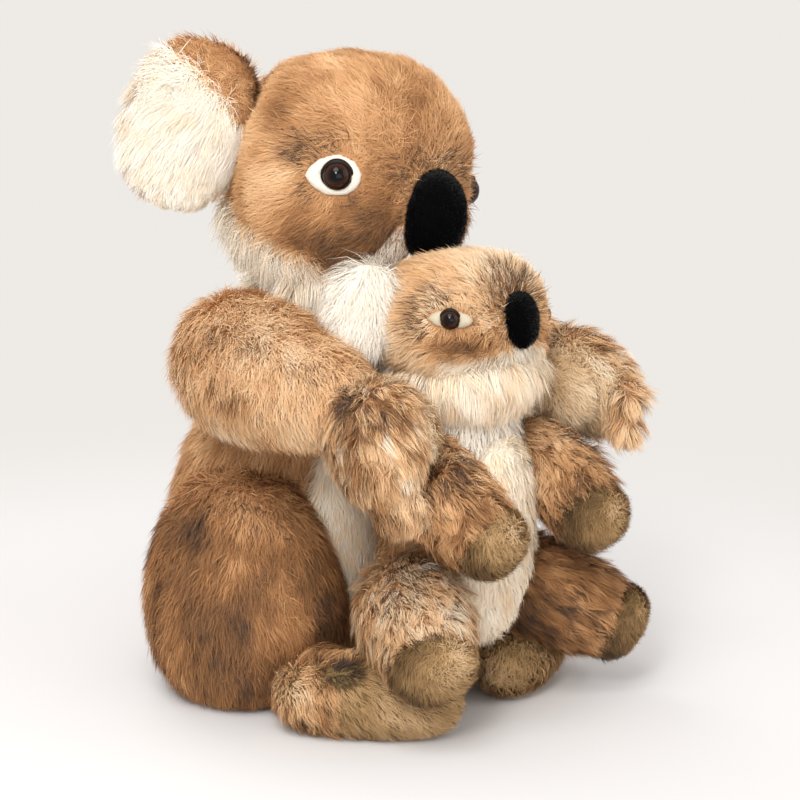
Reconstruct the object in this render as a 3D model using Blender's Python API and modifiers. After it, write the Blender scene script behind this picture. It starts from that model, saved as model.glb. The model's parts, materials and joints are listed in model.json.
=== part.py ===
"""Plush koala that sits with its young in its lap.

Frame: +Z up. The large koala faces -Y and its right side is at -X. The origin is the middle of the
flat that its torso sits on. Lengths are in metres and angles in degrees.

Every stuffed piece is a loft of rings under Subdivision Surface. The larger forms cut the smaller
ones, one seam gap away, so each piece seats on its neighbour as a sewn piece does.
"""
import math

import bmesh
import bpy
from mathutils import Matrix, Vector
from mathutils.bvhtree import BVHTree

# Seams
SEAM_GAP = 0.0003
SIT_FLAT = 0.0005
FLOOR_DEPTH = 0.05
FLOOR_REACH = 1.0
WELD = 0.000002

# Large koala: body
TORSO_WIDTH = 0.160
TORSO_DEPTH = 0.150
TORSO_HEIGHT = 0.280
NECK_LEAN = 0.052
HAUNCH_WIDTH = 0.108
HAUNCH_DEPTH = 0.134
HAUNCH_HEIGHT = 0.142
HAUNCH_FORWARD = 0.036
ANKLE_LENGTH = 0.070
ANKLE_GIRTH = 0.050
FOOT_LENGTH = 0.112
FOOT_WIDTH = 0.052
FOOT_HEIGHT = 0.048
FOOT_FORWARD = 0.146
FOOT_SPREAD_R = 0.076
FOOT_SPREAD_L = 0.060
FOOT_TURN_R = 33.0
FOOT_TURN_L = 62.0
BELLY_WIDTH = 0.130
BELLY_HEIGHT = 0.170
BELLY_SWELL = 0.040

# Large koala: head
HEAD_WIDTH = 0.152
HEAD_DEPTH = 0.156
HEAD_HEIGHT = 0.140
NECK_SEAT = 0.024
RUFF_WIDTH = 0.128
RUFF_HEIGHT = 0.070
RUFF_DROP = 0.066
EAR_WIDTH = 0.086
EAR_HEIGHT = 0.110
EAR_THICKNESS = 0.030
EYE_DIAMETER = 0.018
PATCH_WIDTH = 0.036
PATCH_HEIGHT = 0.030
PATCH_SWELL = 0.010
NOSE_WIDTH = 0.044
NOSE_HEIGHT = 0.060
NOSE_SWELL = 0.034
MUZZLE_WIDTH = 0.036
MUZZLE_HEIGHT = 0.030
MUZZLE_SWELL = 0.014

# Large koala: arms
ARM_GIRTH = 0.100
ARM_WIDTH = 0.086
WRIST_GIRTH = 0.066
ARM_REACH = 0.148
ARM_FALL = 0.016
ARM_SPREAD = 0.008
ARM_BOW = 0.018
ARM_LIFT = 0.006
SHOULDER_SPREAD = 0.078
SHOULDER_PIVOT_SPREAD = 0.048
SHOULDER_BACK = -0.008
SHOULDER_DROP = 0.064
HAND_DROOP_R = 70.0
HAND_DROOP_L = 14.0
HAND_LENGTH = 0.066
HAND_WIDTH = 0.062
HAND_THICKNESS = 0.050
FINGER_LENGTH = 0.034
FINGER_GIRTH = 0.018
FINGER_CURL = 22.0
PALM_WIDTH = 0.054
PALM_LENGTH = 0.060
PALM_SWELL = 0.028

# Young koala
YOUNG_FORWARD = 0.138
YOUNG_TORSO_WIDTH = 0.084
YOUNG_TORSO_DEPTH = 0.078
YOUNG_TORSO_HEIGHT = 0.178
YOUNG_SINK = 0.006
YOUNG_NECK_LEAN = 0.012
YOUNG_BELLY_WIDTH = 0.078
YOUNG_BELLY_HEIGHT = 0.150
YOUNG_BELLY_SWELL = 0.032
YOUNG_HEAD_WIDTH = 0.108
YOUNG_HEAD_DEPTH = 0.100
YOUNG_HEAD_HEIGHT = 0.070
YOUNG_RUFF_WIDTH = 0.094
YOUNG_RUFF_HEIGHT = 0.048
YOUNG_RUFF_DROP = 0.032
YOUNG_NECK_SEAT = 0.010
YOUNG_EAR_WIDTH = 0.040
YOUNG_EAR_HEIGHT = 0.050
YOUNG_EAR_THICKNESS = 0.018
YOUNG_EYE_DIAMETER = 0.012
YOUNG_PATCH_WIDTH = 0.032
YOUNG_PATCH_HEIGHT = 0.013
YOUNG_PATCH_SWELL = 0.008
YOUNG_NOSE_WIDTH = 0.024
YOUNG_NOSE_HEIGHT = 0.034
YOUNG_NOSE_SWELL = 0.018
YOUNG_ARM_GIRTH = 0.054
YOUNG_ARM_SPREAD = 0.044
YOUNG_ARM_FORWARD = 0.012
YOUNG_ARM_REACH = 0.070
YOUNG_ARM_FALL = 0.044
YOUNG_ARM_BOW = 0.010
YOUNG_PAW_GIRTH = 0.044
YOUNG_PAW_SWELL = 0.026
YOUNG_LEG_GIRTH = 0.074
YOUNG_LEG_SPREAD = 0.040
YOUNG_LEG_REACH = 0.066
YOUNG_LEG_FALL = 0.026
YOUNG_LEG_SPLAY_R = 0.040
YOUNG_LEG_SPLAY_L = 0.052
YOUNG_HIP_DROP_L = 0.008
YOUNG_KNEE_RISE = 0.010
YOUNG_SOLE_GIRTH = 0.050
YOUNG_SOLE_SWELL = 0.024

# Ranges that the sewn pieces give, and how far the young one lifts out
HEAD_TURN = 20.0
YOUNG_HEAD_TURN = 20.0
YOUNG_ARM_RAISE = 30.0
YOUNG_LEG_RAISE = 15.0
YOUNG_LIFT_SLOPE = 12.0
YOUNG_LIFT = 0.20

# Shares: each row is (along, across, through, shift) of the sizes of the form that it shapes
TORSO_shares = (
    (0.00, 0.62, 0.62, 0.00), (0.10, 0.96, 0.96, 0.00), (0.30, 1.04, 1.04, 0.00),
    (0.54, 1.06, 1.02, 0.10), (0.78, 0.64, 0.66, 0.84), (0.92, 0.48, 0.50, 1.00),
    (1.00, 0.32, 0.33, 1.00),
)
HEAD_shares = (
    (0.00, 0.52, 0.52, 0.0), (0.16, 0.88, 0.86, 0.0), (0.44, 1.00, 1.00, 0.0),
    (0.76, 0.88, 0.88, 0.0), (1.00, 0.46, 0.46, 0.0),
)
RUFF_shares = (
    (0.00, 0.66, 0.66, 0.0), (0.34, 1.00, 1.00, 0.0), (0.70, 0.98, 0.98, 0.0), (1.00, 0.60, 0.60, 0.0),
)
HAUNCH_shares = (
    (0.00, 0.60, 0.56, 0.0), (0.18, 0.94, 0.92, 0.0), (0.48, 1.00, 1.00, 0.0),
    (0.78, 0.84, 0.84, 0.0), (1.00, 0.44, 0.44, 0.0),
)
FOOT_shares = ((0.00, 0.56, 0.60, 0.0), (0.20, 0.92, 0.96, 0.0), (0.66, 1.00, 1.00, 0.0), (1.00, 0.60, 0.62, 0.0))
EAR_shares = ((0.00, 0.44, 0.70, 0.0), (0.24, 0.88, 1.00, 0.0), (0.62, 1.00, 0.92, 0.0), (1.00, 0.56, 0.50, 0.0))
LIMB_shares = ((0.00, 0.66, 0.66, 0.0), (0.20, 1.00, 1.00, 0.0), (0.62, 0.92, 0.92, 0.0), (1.00, 0.58, 0.58, 0.0))
PAD_shares = ((0.00, 0.62, 0.62, 0.0), (0.50, 1.00, 1.00, 0.0), (1.00, 0.58, 0.58, 0.0))
NOSE_shares = ((0.00, 0.80, 0.80, 0.0), (0.50, 1.00, 1.00, 0.0), (0.80, 0.90, 0.90, 0.0), (1.00, 0.52, 0.52, 0.0))
PAW_shares = ((0.00, 0.96, 0.96, 0.0), (0.40, 1.06, 1.06, 0.0), (1.00, 0.62, 0.62, 0.0))
YOUNG_LIMB_shares = ((0.00, 0.66, 0.66, 0.0), (0.24, 1.00, 1.00, 0.0), (0.66, 0.96, 0.96, 0.0), (1.00, 0.86, 0.86, 0.0))
YOUNG_TORSO_shares = (
    (0.00, 0.62, 0.60, 0.00), (0.14, 0.96, 0.96, 0.00), (0.40, 1.00, 1.00, 0.20),
    (0.70, 0.86, 0.86, 0.70), (0.88, 0.62, 0.66, 1.00), (1.00, 0.40, 0.44, 1.00),
)
FINGER_shares = ((0.00, 1.00, 1.00, 0.0), (0.60, 1.00, 1.00, 0.0), (1.00, 0.60, 0.60, 0.0))

# Where the pieces sit on the forms that carry them, as shares of those forms' sizes
EAR_PLACE_shares = (0.37, 0.20, 0.08)
EAR_OUT_share = 0.46
YOUNG_EAR_PLACE_shares = (0.40, 0.16, 0.04)
EAR_LEAN = 14.0
EAR_SWEEP = 40.0
HEAD_ROLL = 8.0
YOUNG_HEAD_ROLL = 4.0
EYE_TURN = 50.0
EYE_RISE = -3.0
YOUNG_EYE_TURN = 56.0
YOUNG_EYE_RISE = 3.0
NOSE_FALL = 17.0
YOUNG_NOSE_FALL = -4.0
MUZZLE_FALL = 40.0
BELLY_RISE_share = 0.44
HAUNCH_SPREAD_share = 0.49
YOUNG_BELLY_RISE_share = 0.40
YOUNG_SHOULDER_share = 0.70
YOUNG_HIP_share = 0.20
ANKLE_ROOT_share = 0.30
ANKLE_END_share = 0.38
ANKLE_TAPER_share = 0.84
HAND_ROOT_share = 0.22
FINGER_SUNK_share = 0.34
FINGER_FAN_share = 0.50
FINGER_SPREAD_shares = (-0.36, -0.12, 0.12, 0.36)
FINGER_LENGTH_shares = (0.88, 1.00, 0.95, 0.82)
FINGER_GIRTH_shares = (0.94, 1.03, 1.00, 0.91)
KEPT_share = 0.4
LOOK_AHEAD_share = 0.05
NECK_FOOT_share = 0.84
SPUN_STEPS = 5
SPUN_SIDES = 20

# Parts of a safety eye, as shares of its diameter, and its lock washer
DOME_shares = (0.48, 0.44, 0.33, 0.18, 0.0)
DOME_RADIUS_shares = (0.0, 0.22, 0.39, 0.48, 0.50)
EYE_PROUD_share = 0.10
SHANK_DIAMETER_share = 0.26
SHANK_LENGTH_share = 0.80
SHANK_RIB_share = 0.035
RIB_COUNT = 2
RIB_TOP_share = 0.20
RIB_EDGE_share = 0.80
WASHER_DIAMETER_share = 0.80
WASHER_THICKNESS_share = 0.09
WASHER_PLACE_share = 0.52
ROUND_STEPS = 12

PART_COLLECTION = "plush_koala"
CUTTER_COLLECTION = "plush_koala_cutters"

FORWARD = Vector((0.0, -1.0, 0.0))
UP = Vector((0.0, 0.0, 1.0))
RIGHT = Vector((-1.0, 0.0, 0.0))


# Scene helpers

def clear_scene():
    for item in list(bpy.data.objects):
        bpy.data.objects.remove(item, do_unlink=True)


def collection(name):
    found = bpy.data.collections.get(name)
    if found is None:
        found = bpy.data.collections.new(name)
        bpy.context.scene.collection.children.link(found)
    return found


def material(name, colour, roughness, metallic=0.0):
    made = bpy.data.materials.new(name)
    made.use_nodes = True
    shader = made.node_tree.nodes["Principled BSDF"]
    shader.inputs["Base Color"].default_value = (*colour, 1.0)
    shader.inputs["Roughness"].default_value = roughness
    shader.inputs["Metallic"].default_value = metallic
    made.diffuse_color = (*colour, 1.0)
    return made


def caramel_plush(name):
    return material(name, (0.48, 0.27, 0.13), 0.95)


def white_plush(name):
    return material(name, (0.85, 0.80, 0.72), 0.95)


def olive_plush(name):
    return material(name, (0.27, 0.19, 0.09), 0.92)


def white_felt(name):
    return material(name, (0.86, 0.83, 0.77), 0.9)


def black_velvet(name):
    return material(name, (0.012, 0.012, 0.014), 0.8)


def glossy_eye(name):
    return material(name, (0.045, 0.018, 0.008), 0.06)


def washer_plastic(name):
    return material(name, (0.75, 0.74, 0.70), 0.4)


def put(name, mesh, where, skin=None):
    made = bpy.data.objects.new(name, mesh)
    collection(where).objects.link(made)
    if skin is not None:
        mesh.materials.clear()
        mesh.materials.append(skin)
    return made


def smooth(mesh):
    mesh.shade_smooth()
    mesh.set_sharp_from_angle(angle=math.radians(40.0))


def evaluated_mesh(item):
    bpy.context.view_layer.update()
    graph = bpy.context.evaluated_depsgraph_get()
    return bpy.data.meshes.new_from_object(item.evaluated_get(graph))


# Lofts

def swell_of(sides, levels):
    """How far outside the surface the cage's corners stand, so that the form meets its stated size."""
    if levels == 1:
        return 1.0 / math.cos(math.pi / sides)
    return 6.0 / (4.0 + 2.0 * math.cos(2.0 * math.pi / sides))


def ring(centre, across, through):
    return (Vector(centre), Vector(across), Vector(through))


def upright_rings(base, width, depth, height, shares, lean):
    """Rings up a standing form whose middle drifts forward by the lean."""
    rings = []
    for along, across, through, shift in shares:
        centre = base + UP * (height * along) + FORWARD * (lean * shift)
        rings.append(ring(centre, RIGHT * (-width * across / 2), FORWARD * (-depth * through / 2)))
    return rings


def limb_rings(points, across_size, through_size, tip_across, tip_through, side, shares):
    """Rings along a bent centre line; the section changes from the root's size to the tip's."""
    rings = []
    for along, across, through, _ in shares:
        centre = on_line(points, along)
        after = on_line(points, min(along + LOOK_AHEAD_share, 1.0))
        ahead = (after - on_line(points, max(along - LOOK_AHEAD_share, 0.0))).normalized()
        flat = (side - ahead * side.dot(ahead)).normalized()
        rise = ahead.cross(flat)
        wide = across_size + (tip_across - across_size) * along
        deep = through_size + (tip_through - through_size) * along
        rings.append(ring(centre, flat * (wide * across / 2), rise * (deep * through / 2)))
    return rings


def on_line(points, share):
    """The point at a share of a quadratic curve through a start, a pull and an end."""
    start, pull, end = points
    keep = 1.0 - share
    return start * (keep * keep) + pull * (2.0 * keep * share) + end * (share * share)


def loft(name, rings, sides, levels, skin):
    """A closed cage through the rings, with Subdivision Surface."""
    grow = swell_of(sides, levels)
    cage = bmesh.new()
    rows = []
    for centre, across, through in rings:
        row = []
        for step in range(sides):
            angle = 2.0 * math.pi * step / sides
            spot = centre + (across * math.cos(angle) + through * math.sin(angle)) * grow
            row.append(cage.verts.new(spot))
        rows.append(row)
    for low, high in zip(rows, rows[1:]):
        for step in range(sides):
            after = (step + 1) % sides
            cage.faces.new((low[step], low[after], high[after], high[step]))
    cage.faces.new(rows[0])
    cage.faces.new(rows[-1])
    bmesh.ops.recalc_face_normals(cage, faces=cage.faces)
    mesh = bpy.data.meshes.new(name)
    cage.to_mesh(mesh)
    cage.free()
    mesh.shade_smooth()
    made = put(name, mesh, PART_COLLECTION, skin)
    rounded = made.modifiers.new("rounded", "SUBSURF")
    rounded.levels = levels
    rounded.render_levels = levels
    return made


def pad_rings(centre, normal, up, width, height, swell, shares):
    """Rings of a small stuffed pad that lies on a surface; half of its swell stands inside it."""
    flat_up = (up - normal * up.dot(normal)).normalized()
    side = flat_up.cross(normal)
    rings = []
    for along, across, through, _ in shares:
        spot = centre + normal * (swell * (along - 0.5))
        rings.append(ring(spot, side * (width * across / 2), flat_up * (height * through / 2)))
    return rings


# Cutting

def gap_cutter(item):
    """A copy of a form that stands one seam gap outside it."""
    made = put(item.name + "_gap", item.data.copy(), CUTTER_COLLECTION)
    made.data.materials.clear()
    for source in item.modifiers:
        rounded = made.modifiers.new("rounded", "SUBSURF")
        rounded.levels = source.levels
        rounded.render_levels = source.levels
    outward = made.modifiers.new("gap", "DISPLACE")
    outward.strength = SEAM_GAP
    outward.mid_level = 0.0
    made.modifiers.new("flat_faces", "TRIANGULATE")
    return hide(made)


def hide(item):
    item.hide_render = True
    item.display_type = "WIRE"
    return item


def turned(pivot, axis, degrees):
    about = Vector(pivot)
    return Matrix.Translation(about) @ Matrix.Rotation(math.radians(degrees), 4, axis) @ Matrix.Translation(-about)


def slid(direction, travel):
    return Matrix.Translation(direction * travel)


def swept_room(cutter, label, places):
    """The convex room that a form takes up while what it cuts turns or slides past it."""
    mesh = evaluated_mesh(cutter)
    room = bmesh.new()
    for place in places:
        for vertex in mesh.vertices:
            room.verts.new(place @ vertex.co)
    bmesh.ops.convex_hull(room, input=room.verts)
    loose = [vertex for vertex in room.verts if not vertex.link_faces]
    bmesh.ops.delete(room, geom=loose, context="VERTS")
    bmesh.ops.recalc_face_normals(room, faces=room.faces)
    name = f"{cutter.name}_{label}"
    hull = bpy.data.meshes.new(name)
    room.to_mesh(hull)
    room.free()
    return hide(put(name, hull, CUTTER_COLLECTION))


def reach_above(mesh, pivot, height):
    """The farthest that a mesh gets from the upright line through a pivot, from a height up."""
    spots = [vertex.co for vertex in mesh.vertices if vertex.co.z >= height]
    for edge in mesh.edges:
        ends = [mesh.vertices[index].co for index in edge.vertices]
        low, high = sorted(ends, key=lambda spot: spot.z)
        if low.z < height < high.z:
            spots.append(low.lerp(high, (height - low.z) / (high.z - low.z)))
    return max(math.hypot(spot.x - pivot.x, spot.y - pivot.y) for spot in spots)


def spun_room(cutter, pivot, low):
    """The turned room over a neck, so that the head on it can look to either side."""
    mesh = evaluated_mesh(cutter)
    top = max(vertex.co.z for vertex in mesh.vertices)
    step = (top - low) / SPUN_STEPS
    outer = 1.0 / math.cos(math.pi / SPUN_SIDES)
    profile = [(0.0, low)]
    for level in range(SPUN_STEPS + 1):
        height = low + step * level
        profile.append((reach_above(mesh, pivot, height - step) * outer, height))
    profile.append((0.0, top))
    base = Vector((pivot.x, pivot.y, 0.0))
    name = cutter.name + "_spun"
    return as_cutter(turned_piece(name, profile, base, UP, washer_plastic(name), steps=SPUN_SIDES))


def world_box(item):
    bpy.context.view_layer.update()
    graph = bpy.context.evaluated_depsgraph_get()
    shape = item.evaluated_get(graph)
    spots = [shape.matrix_world @ Vector(corner) for corner in shape.bound_box]
    low = Vector([min(spot[axis] for spot in spots) for axis in range(3)])
    high = Vector([max(spot[axis] for spot in spots) for axis in range(3)])
    return low, high


def boxes_meet(first, second):
    return all(first[0][axis] < second[1][axis] and second[0][axis] < first[1][axis] for axis in range(3))


def cut(item, cutters):
    """Cuts a piece by each cutter whose surface crosses its own, then keeps its largest body."""
    settle_mesh(item)
    for cutter in cutters:
        if boxes_meet(world_box(item), world_box(cutter)) and surfaces_cross(item, cutter):
            combine(item, cutter, "DIFFERENCE")


def surfaces_cross(first, second):
    return bool(surface_tree(first).overlap(surface_tree(second)))


def surface_tree(item):
    mesh = evaluated_mesh(item)
    return BVHTree.FromPolygons(
        [item.matrix_world @ vertex.co for vertex in mesh.vertices],
        [tuple(face.vertices) for face in mesh.polygons],
    )


def join(item, others):
    """Joins sewn lobes to the form that carries them, as one body."""
    settle_mesh(item)
    for other in others:
        combine(item, other, "UNION")


def combine(item, other, operation):
    """One Boolean step. The second solver takes over where the first leaves an open or wrong mesh."""
    before = item.data
    was = volume_of(before)[0]
    least = was if operation == "UNION" else was * KEPT_share
    most = was if operation == "DIFFERENCE" else was / KEPT_share
    found = []
    for solver in ("EXACT", "MANIFOLD"):
        step = item.modifiers.new("combine", "BOOLEAN")
        step.operation = operation
        step.solver = solver
        step.object = other
        settle_mesh(item)
        size, closed = volume_of(item.data)
        if closed and least < size < most:
            return
        if closed:
            found.append((size, item.data))
        item.data = before
    if found:
        item.data = max(found, key=lambda pair: pair[0])[1]


def volume_of(mesh):
    shape = bmesh.new()
    shape.from_mesh(mesh)
    closed = bool(shape.edges) and all(len(edge.link_faces) == 2 for edge in shape.edges)
    size = shape.calc_volume(signed=True) if closed else 0.0
    shape.free()
    return size, closed


def settle_mesh(item):
    """Applies what is on a piece, and cleans and smooths the mesh that comes out."""
    mesh = evaluated_mesh(item)
    item.modifiers.clear()
    clean = bmesh.new()
    clean.from_mesh(mesh)
    bmesh.ops.remove_doubles(clean, verts=clean.verts, dist=WELD)
    bmesh.ops.dissolve_degenerate(clean, edges=clean.edges, dist=WELD)
    bmesh.ops.triangulate(clean, faces=clean.faces)
    keep_largest(clean)
    skin = item.data.materials[0]
    clean.to_mesh(mesh)
    clean.free()
    mesh.materials.clear()
    mesh.materials.append(skin)
    item.data = mesh
    smooth(mesh)


def keep_largest(mesh):
    """Drops the crumbs that a shallow cut can leave beside a piece."""
    waiting = set(mesh.verts)
    bodies = []
    while waiting:
        front = [waiting.pop()]
        body = set(front)
        while front:
            for edge in front.pop().link_edges:
                for vertex in edge.verts:
                    if vertex in waiting:
                        waiting.remove(vertex)
                        body.add(vertex)
                        front.append(vertex)
        bodies.append(body)
    bodies.sort(key=len)
    for body in bodies[:-1]:
        bmesh.ops.delete(mesh, geom=list(body), context="VERTS")


def lowest(item):
    mesh = evaluated_mesh(item)
    return min(vertex.co.z for vertex in mesh.vertices)


def sit(item):
    """Lowers a form until the floor cuts its flat."""
    drop = lowest(item) + SIT_FLAT
    for vertex in item.data.vertices:
        vertex.co.z -= drop


def floor_cutter():
    bpy.ops.mesh.primitive_cube_add(size=1.0)
    made = bpy.context.active_object
    made.name = "floor"
    made.data.transform(Matrix.Diagonal((FLOOR_REACH, FLOOR_REACH, FLOOR_DEPTH, 1.0)))
    made.data.transform(Matrix.Translation(UP * (-FLOOR_DEPTH / 2)))
    return as_cutter(made)


def surface_point(item, origin, direction):
    """Where a ray from inside a form leaves it, and the form's outward direction there."""
    spot, normal, _, _ = surface_tree(item).ray_cast(origin, direction)
    if normal.dot(direction) < 0.0:
        normal = -normal
    return spot, normal


def rolled(roll):
    """A head's own frame, cocked to one side about the way it faces."""
    return Matrix.Rotation(math.radians(-roll), 3, FORWARD)


def face_direction(turn, rise, side=1.0, roll=0.0):
    """A direction from a head's middle, turned from forward to one side and tilted up."""
    level = Matrix.Rotation(math.radians(-turn * side), 3, "Z") @ FORWARD
    ahead = level * math.cos(math.radians(rise)) + UP * math.sin(math.radians(rise))
    return (rolled(roll) @ ahead).normalized()


# Turned pieces: safety eyes and their lock washers

def turned_piece(name, profile, origin, axis, skin, steps=ROUND_STEPS):
    """Turns a profile of (radius, height) pairs about an axis."""
    mesh = bpy.data.meshes.new(name)
    spots = [(radius, 0.0, height) for radius, height in profile]
    edges = [(index, index + 1) for index in range(len(spots) - 1)]
    if profile[0][0] > 0.0:
        edges.append((len(spots) - 1, 0))
    mesh.from_pydata(spots, edges, [])
    made = put(name, mesh, PART_COLLECTION, skin)
    spin = made.modifiers.new("turned", "SCREW")
    spin.steps = steps
    spin.render_steps = steps
    spin.use_merge_vertices = True
    spin.merge_threshold = WELD
    spin.use_normal_calculate = True
    done = evaluated_mesh(made)
    done.transform(Matrix.Translation(origin) @ axis.to_track_quat("Z", "Y").to_matrix().to_4x4())
    fix = bmesh.new()
    fix.from_mesh(done)
    bmesh.ops.remove_doubles(fix, verts=fix.verts, dist=WELD)
    bmesh.ops.recalc_face_normals(fix, faces=fix.faces)
    fix.to_mesh(done)
    fix.free()
    made.modifiers.clear()
    made.data = done
    done.materials.clear()
    done.materials.append(skin)
    smooth(done)
    return made


def washer_low(size):
    """How far below an eye's back the lock washer's far face lies."""
    return size * (SHANK_LENGTH_share * WASHER_PLACE_share + WASHER_THICKNESS_share)


def eye_profile(size):
    """A low dome on a flat back, with a shank behind it whose ribs hold the washer."""
    radius = size * SHANK_DIAMETER_share / 2
    length = size * SHANK_LENGTH_share
    profile = [(size * out, size * rise) for out, rise in zip(DOME_RADIUS_shares, DOME_shares)]
    profile.append((radius, 0.0))
    free = washer_low(size) + SEAM_GAP
    pitch = (length - free) / RIB_COUNT
    for number in range(RIB_COUNT):
        top = -free - pitch * number
        profile.append((radius, top))
        profile.append((radius + size * SHANK_RIB_share, top - pitch * RIB_TOP_share))
        profile.append((radius, top - pitch * RIB_EDGE_share))
    profile.append((radius, -length))
    profile.append((0.0, -length))
    return profile


def socket_profile(size):
    """The room for an eye: a seat for its back and a plain bore for its shank."""
    bore = size * (SHANK_DIAMETER_share / 2 + SHANK_RIB_share) + SEAM_GAP
    outer = size * DOME_RADIUS_shares[-1] + SEAM_GAP
    low = -size * SHANK_LENGTH_share - SEAM_GAP
    return [(0.0, size), (outer, size), (outer, -SEAM_GAP), (bore, -SEAM_GAP), (bore, low), (0.0, low)]


def washer_profile(size):
    bore = size * SHANK_DIAMETER_share / 2 + SEAM_GAP
    outer = size * WASHER_DIAMETER_share / 2
    top = -size * SHANK_LENGTH_share * WASHER_PLACE_share
    low = -washer_low(size)
    return [(outer, top), (outer, low), (bore, low), (bore, top)]


def pocket_profile(size):
    """The room for a washer, one seam gap larger all round."""
    outer = size * WASHER_DIAMETER_share / 2 + SEAM_GAP
    top = -size * SHANK_LENGTH_share * WASHER_PLACE_share + SEAM_GAP
    low = -washer_low(size) - SEAM_GAP
    return [(0.0, top), (outer, top), (outer, low), (0.0, low)]


def as_cutter(item):
    for owner in list(item.users_collection):
        owner.objects.unlink(item)
    collection(CUTTER_COLLECTION).objects.link(item)
    return hide(item)


def safety_eye(prefix, size, spot, axis):
    """Returns the eye, its washer and the two cutters that make their socket."""
    seat = spot + axis * (size * EYE_PROUD_share)
    eye = turned_piece(prefix, eye_profile(size), seat, axis, glossy_eye(prefix))
    washer_name = prefix.replace("eye", "washer")
    washer = turned_piece(washer_name, washer_profile(size), seat, axis, washer_plastic(washer_name))
    plain = washer_plastic(prefix + "_socket")
    socket = as_cutter(turned_piece(prefix + "_socket", socket_profile(size), seat, axis, plain))
    pocket = as_cutter(turned_piece(prefix + "_pocket", pocket_profile(size), seat, axis, plain))
    return eye, washer, socket, pocket


# Forms. Each side of a pair is named r or l; side is 1 on the koala's right and -1 on its left.

SIDES = (("r", 1), ("l", -1))


def add_form(forms, name, rings, sides, skin, seated=False):
    forms[name] = loft(name, rings, sides, 1, skin(name))
    if seated:
        sit(forms[name])


def build_mother_body(forms):
    """Torso, belly panel, haunches, ankles and feet: the body that sits on the floor."""
    base = Vector((0.0, 0.0, 0.0))
    rings = upright_rings(base, TORSO_WIDTH, TORSO_DEPTH, TORSO_HEIGHT, TORSO_shares, NECK_LEAN)
    add_form(forms, "mother_torso", rings, 10, caramel_plush, seated=True)
    for tag, side in SIDES:
        build_mother_leg(forms, tag, side)
    spot, normal = surface_point(forms["mother_torso"], UP * (TORSO_HEIGHT * BELLY_RISE_share), FORWARD)
    rings = pad_rings(spot, normal, UP, BELLY_WIDTH, BELLY_HEIGHT, BELLY_SWELL, PAD_shares)
    add_form(forms, "mother_belly", rings, 8, white_plush)


def build_mother_leg(forms, tag, side):
    middle = RIGHT * (side * TORSO_WIDTH * HAUNCH_SPREAD_share) + FORWARD * HAUNCH_FORWARD
    rings = upright_rings(middle, HAUNCH_WIDTH, HAUNCH_DEPTH, HAUNCH_HEIGHT, HAUNCH_shares, 0.0)
    add_form(forms, f"mother_haunch_{tag}", rings, 10, caramel_plush, seated=True)
    spread = FOOT_SPREAD_R if side > 0 else FOOT_SPREAD_L
    turn = FOOT_TURN_R if side > 0 else FOOT_TURN_L
    inward = Matrix.Rotation(math.radians(turn * side), 3, "Z") @ FORWARD
    centre = RIGHT * (side * spread) + FORWARD * FOOT_FORWARD + UP * (FOOT_HEIGHT / 2)
    heel = centre - inward * (FOOT_LENGTH / 2)
    toe = centre + inward * (FOOT_LENGTH / 2)
    across = inward.cross(UP)
    rings = limb_rings((heel, centre, toe), FOOT_WIDTH, FOOT_HEIGHT, FOOT_WIDTH, FOOT_HEIGHT, across, FOOT_shares)
    add_form(forms, f"mother_foot_{tag}", rings, 8, olive_plush, seated=True)
    root = middle + FORWARD * (HAUNCH_DEPTH * ANKLE_ROOT_share) + UP * (ANKLE_GIRTH / 2)
    over = heel + inward * (FOOT_LENGTH * ANKLE_END_share)
    reach = (over - root).normalized() * ANKLE_LENGTH
    tip = ANKLE_GIRTH * ANKLE_TAPER_share
    across = reach.cross(UP).normalized()
    line = (root, root + reach / 2, root + reach)
    rings = limb_rings(line, ANKLE_GIRTH, ANKLE_GIRTH, tip, tip, across, LIMB_shares)
    add_form(forms, f"mother_ankle_{tag}", rings, 8, caramel_plush, seated=True)


def head_centre():
    return Vector((0.0, -NECK_LEAN, TORSO_HEIGHT - NECK_SEAT + HEAD_HEIGHT / 2))


def neck_pivot():
    return Vector((0.0, -NECK_LEAN, TORSO_HEIGHT - NECK_SEAT))


def shoulder_pivot(side):
    return RIGHT * (side * SHOULDER_PIVOT_SPREAD) + UP * (TORSO_HEIGHT - SHOULDER_DROP)


def young_base():
    return Vector((0.0, -YOUNG_FORWARD, FOOT_HEIGHT - YOUNG_SINK))


def young_head_centre():
    rise = YOUNG_TORSO_HEIGHT - YOUNG_NECK_SEAT + YOUNG_HEAD_HEIGHT / 2
    return young_base() + FORWARD * YOUNG_NECK_LEAN + UP * rise


def build_face(forms, extra, who, centre, sizes):
    """Eye patches, eyes with their washers, and the nose, each seated on the head's surface."""
    head = forms[f"{who}_head"]
    eyes = {}
    for tag, side in SIDES:
        spot, normal = surface_point(head, centre, face_direction(sizes["eye_turn"], sizes["eye_rise"], side, sizes["roll"]))
        upward = rolled(sizes["roll"]) @ UP
        eye, washer, socket, pocket = safety_eye(f"{who}_eye_{tag}", sizes["eye"], spot, normal)
        size = (sizes["patch_width"], sizes["patch_height"], sizes["patch_swell"])
        rings = pad_rings(spot, normal, upward, *size, PAD_shares)
        add_form(forms, f"{who}_patch_{tag}", rings, 8, white_felt)
        extra.setdefault(f"{who}_patch_{tag}", []).append(socket)
        extra.setdefault(f"{who}_head", []).extend((socket, pocket))
        eyes[tag] = (eye, washer)
    spot, normal = surface_point(head, centre, face_direction(0.0, -sizes["nose_fall"]))
    size = (sizes["nose_width"], sizes["nose_height"], sizes["nose_swell"])
    rings = pad_rings(spot, normal, UP, *size, NOSE_shares)
    add_form(forms, f"{who}_nose", rings, 8, black_velvet)
    return eyes


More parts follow.
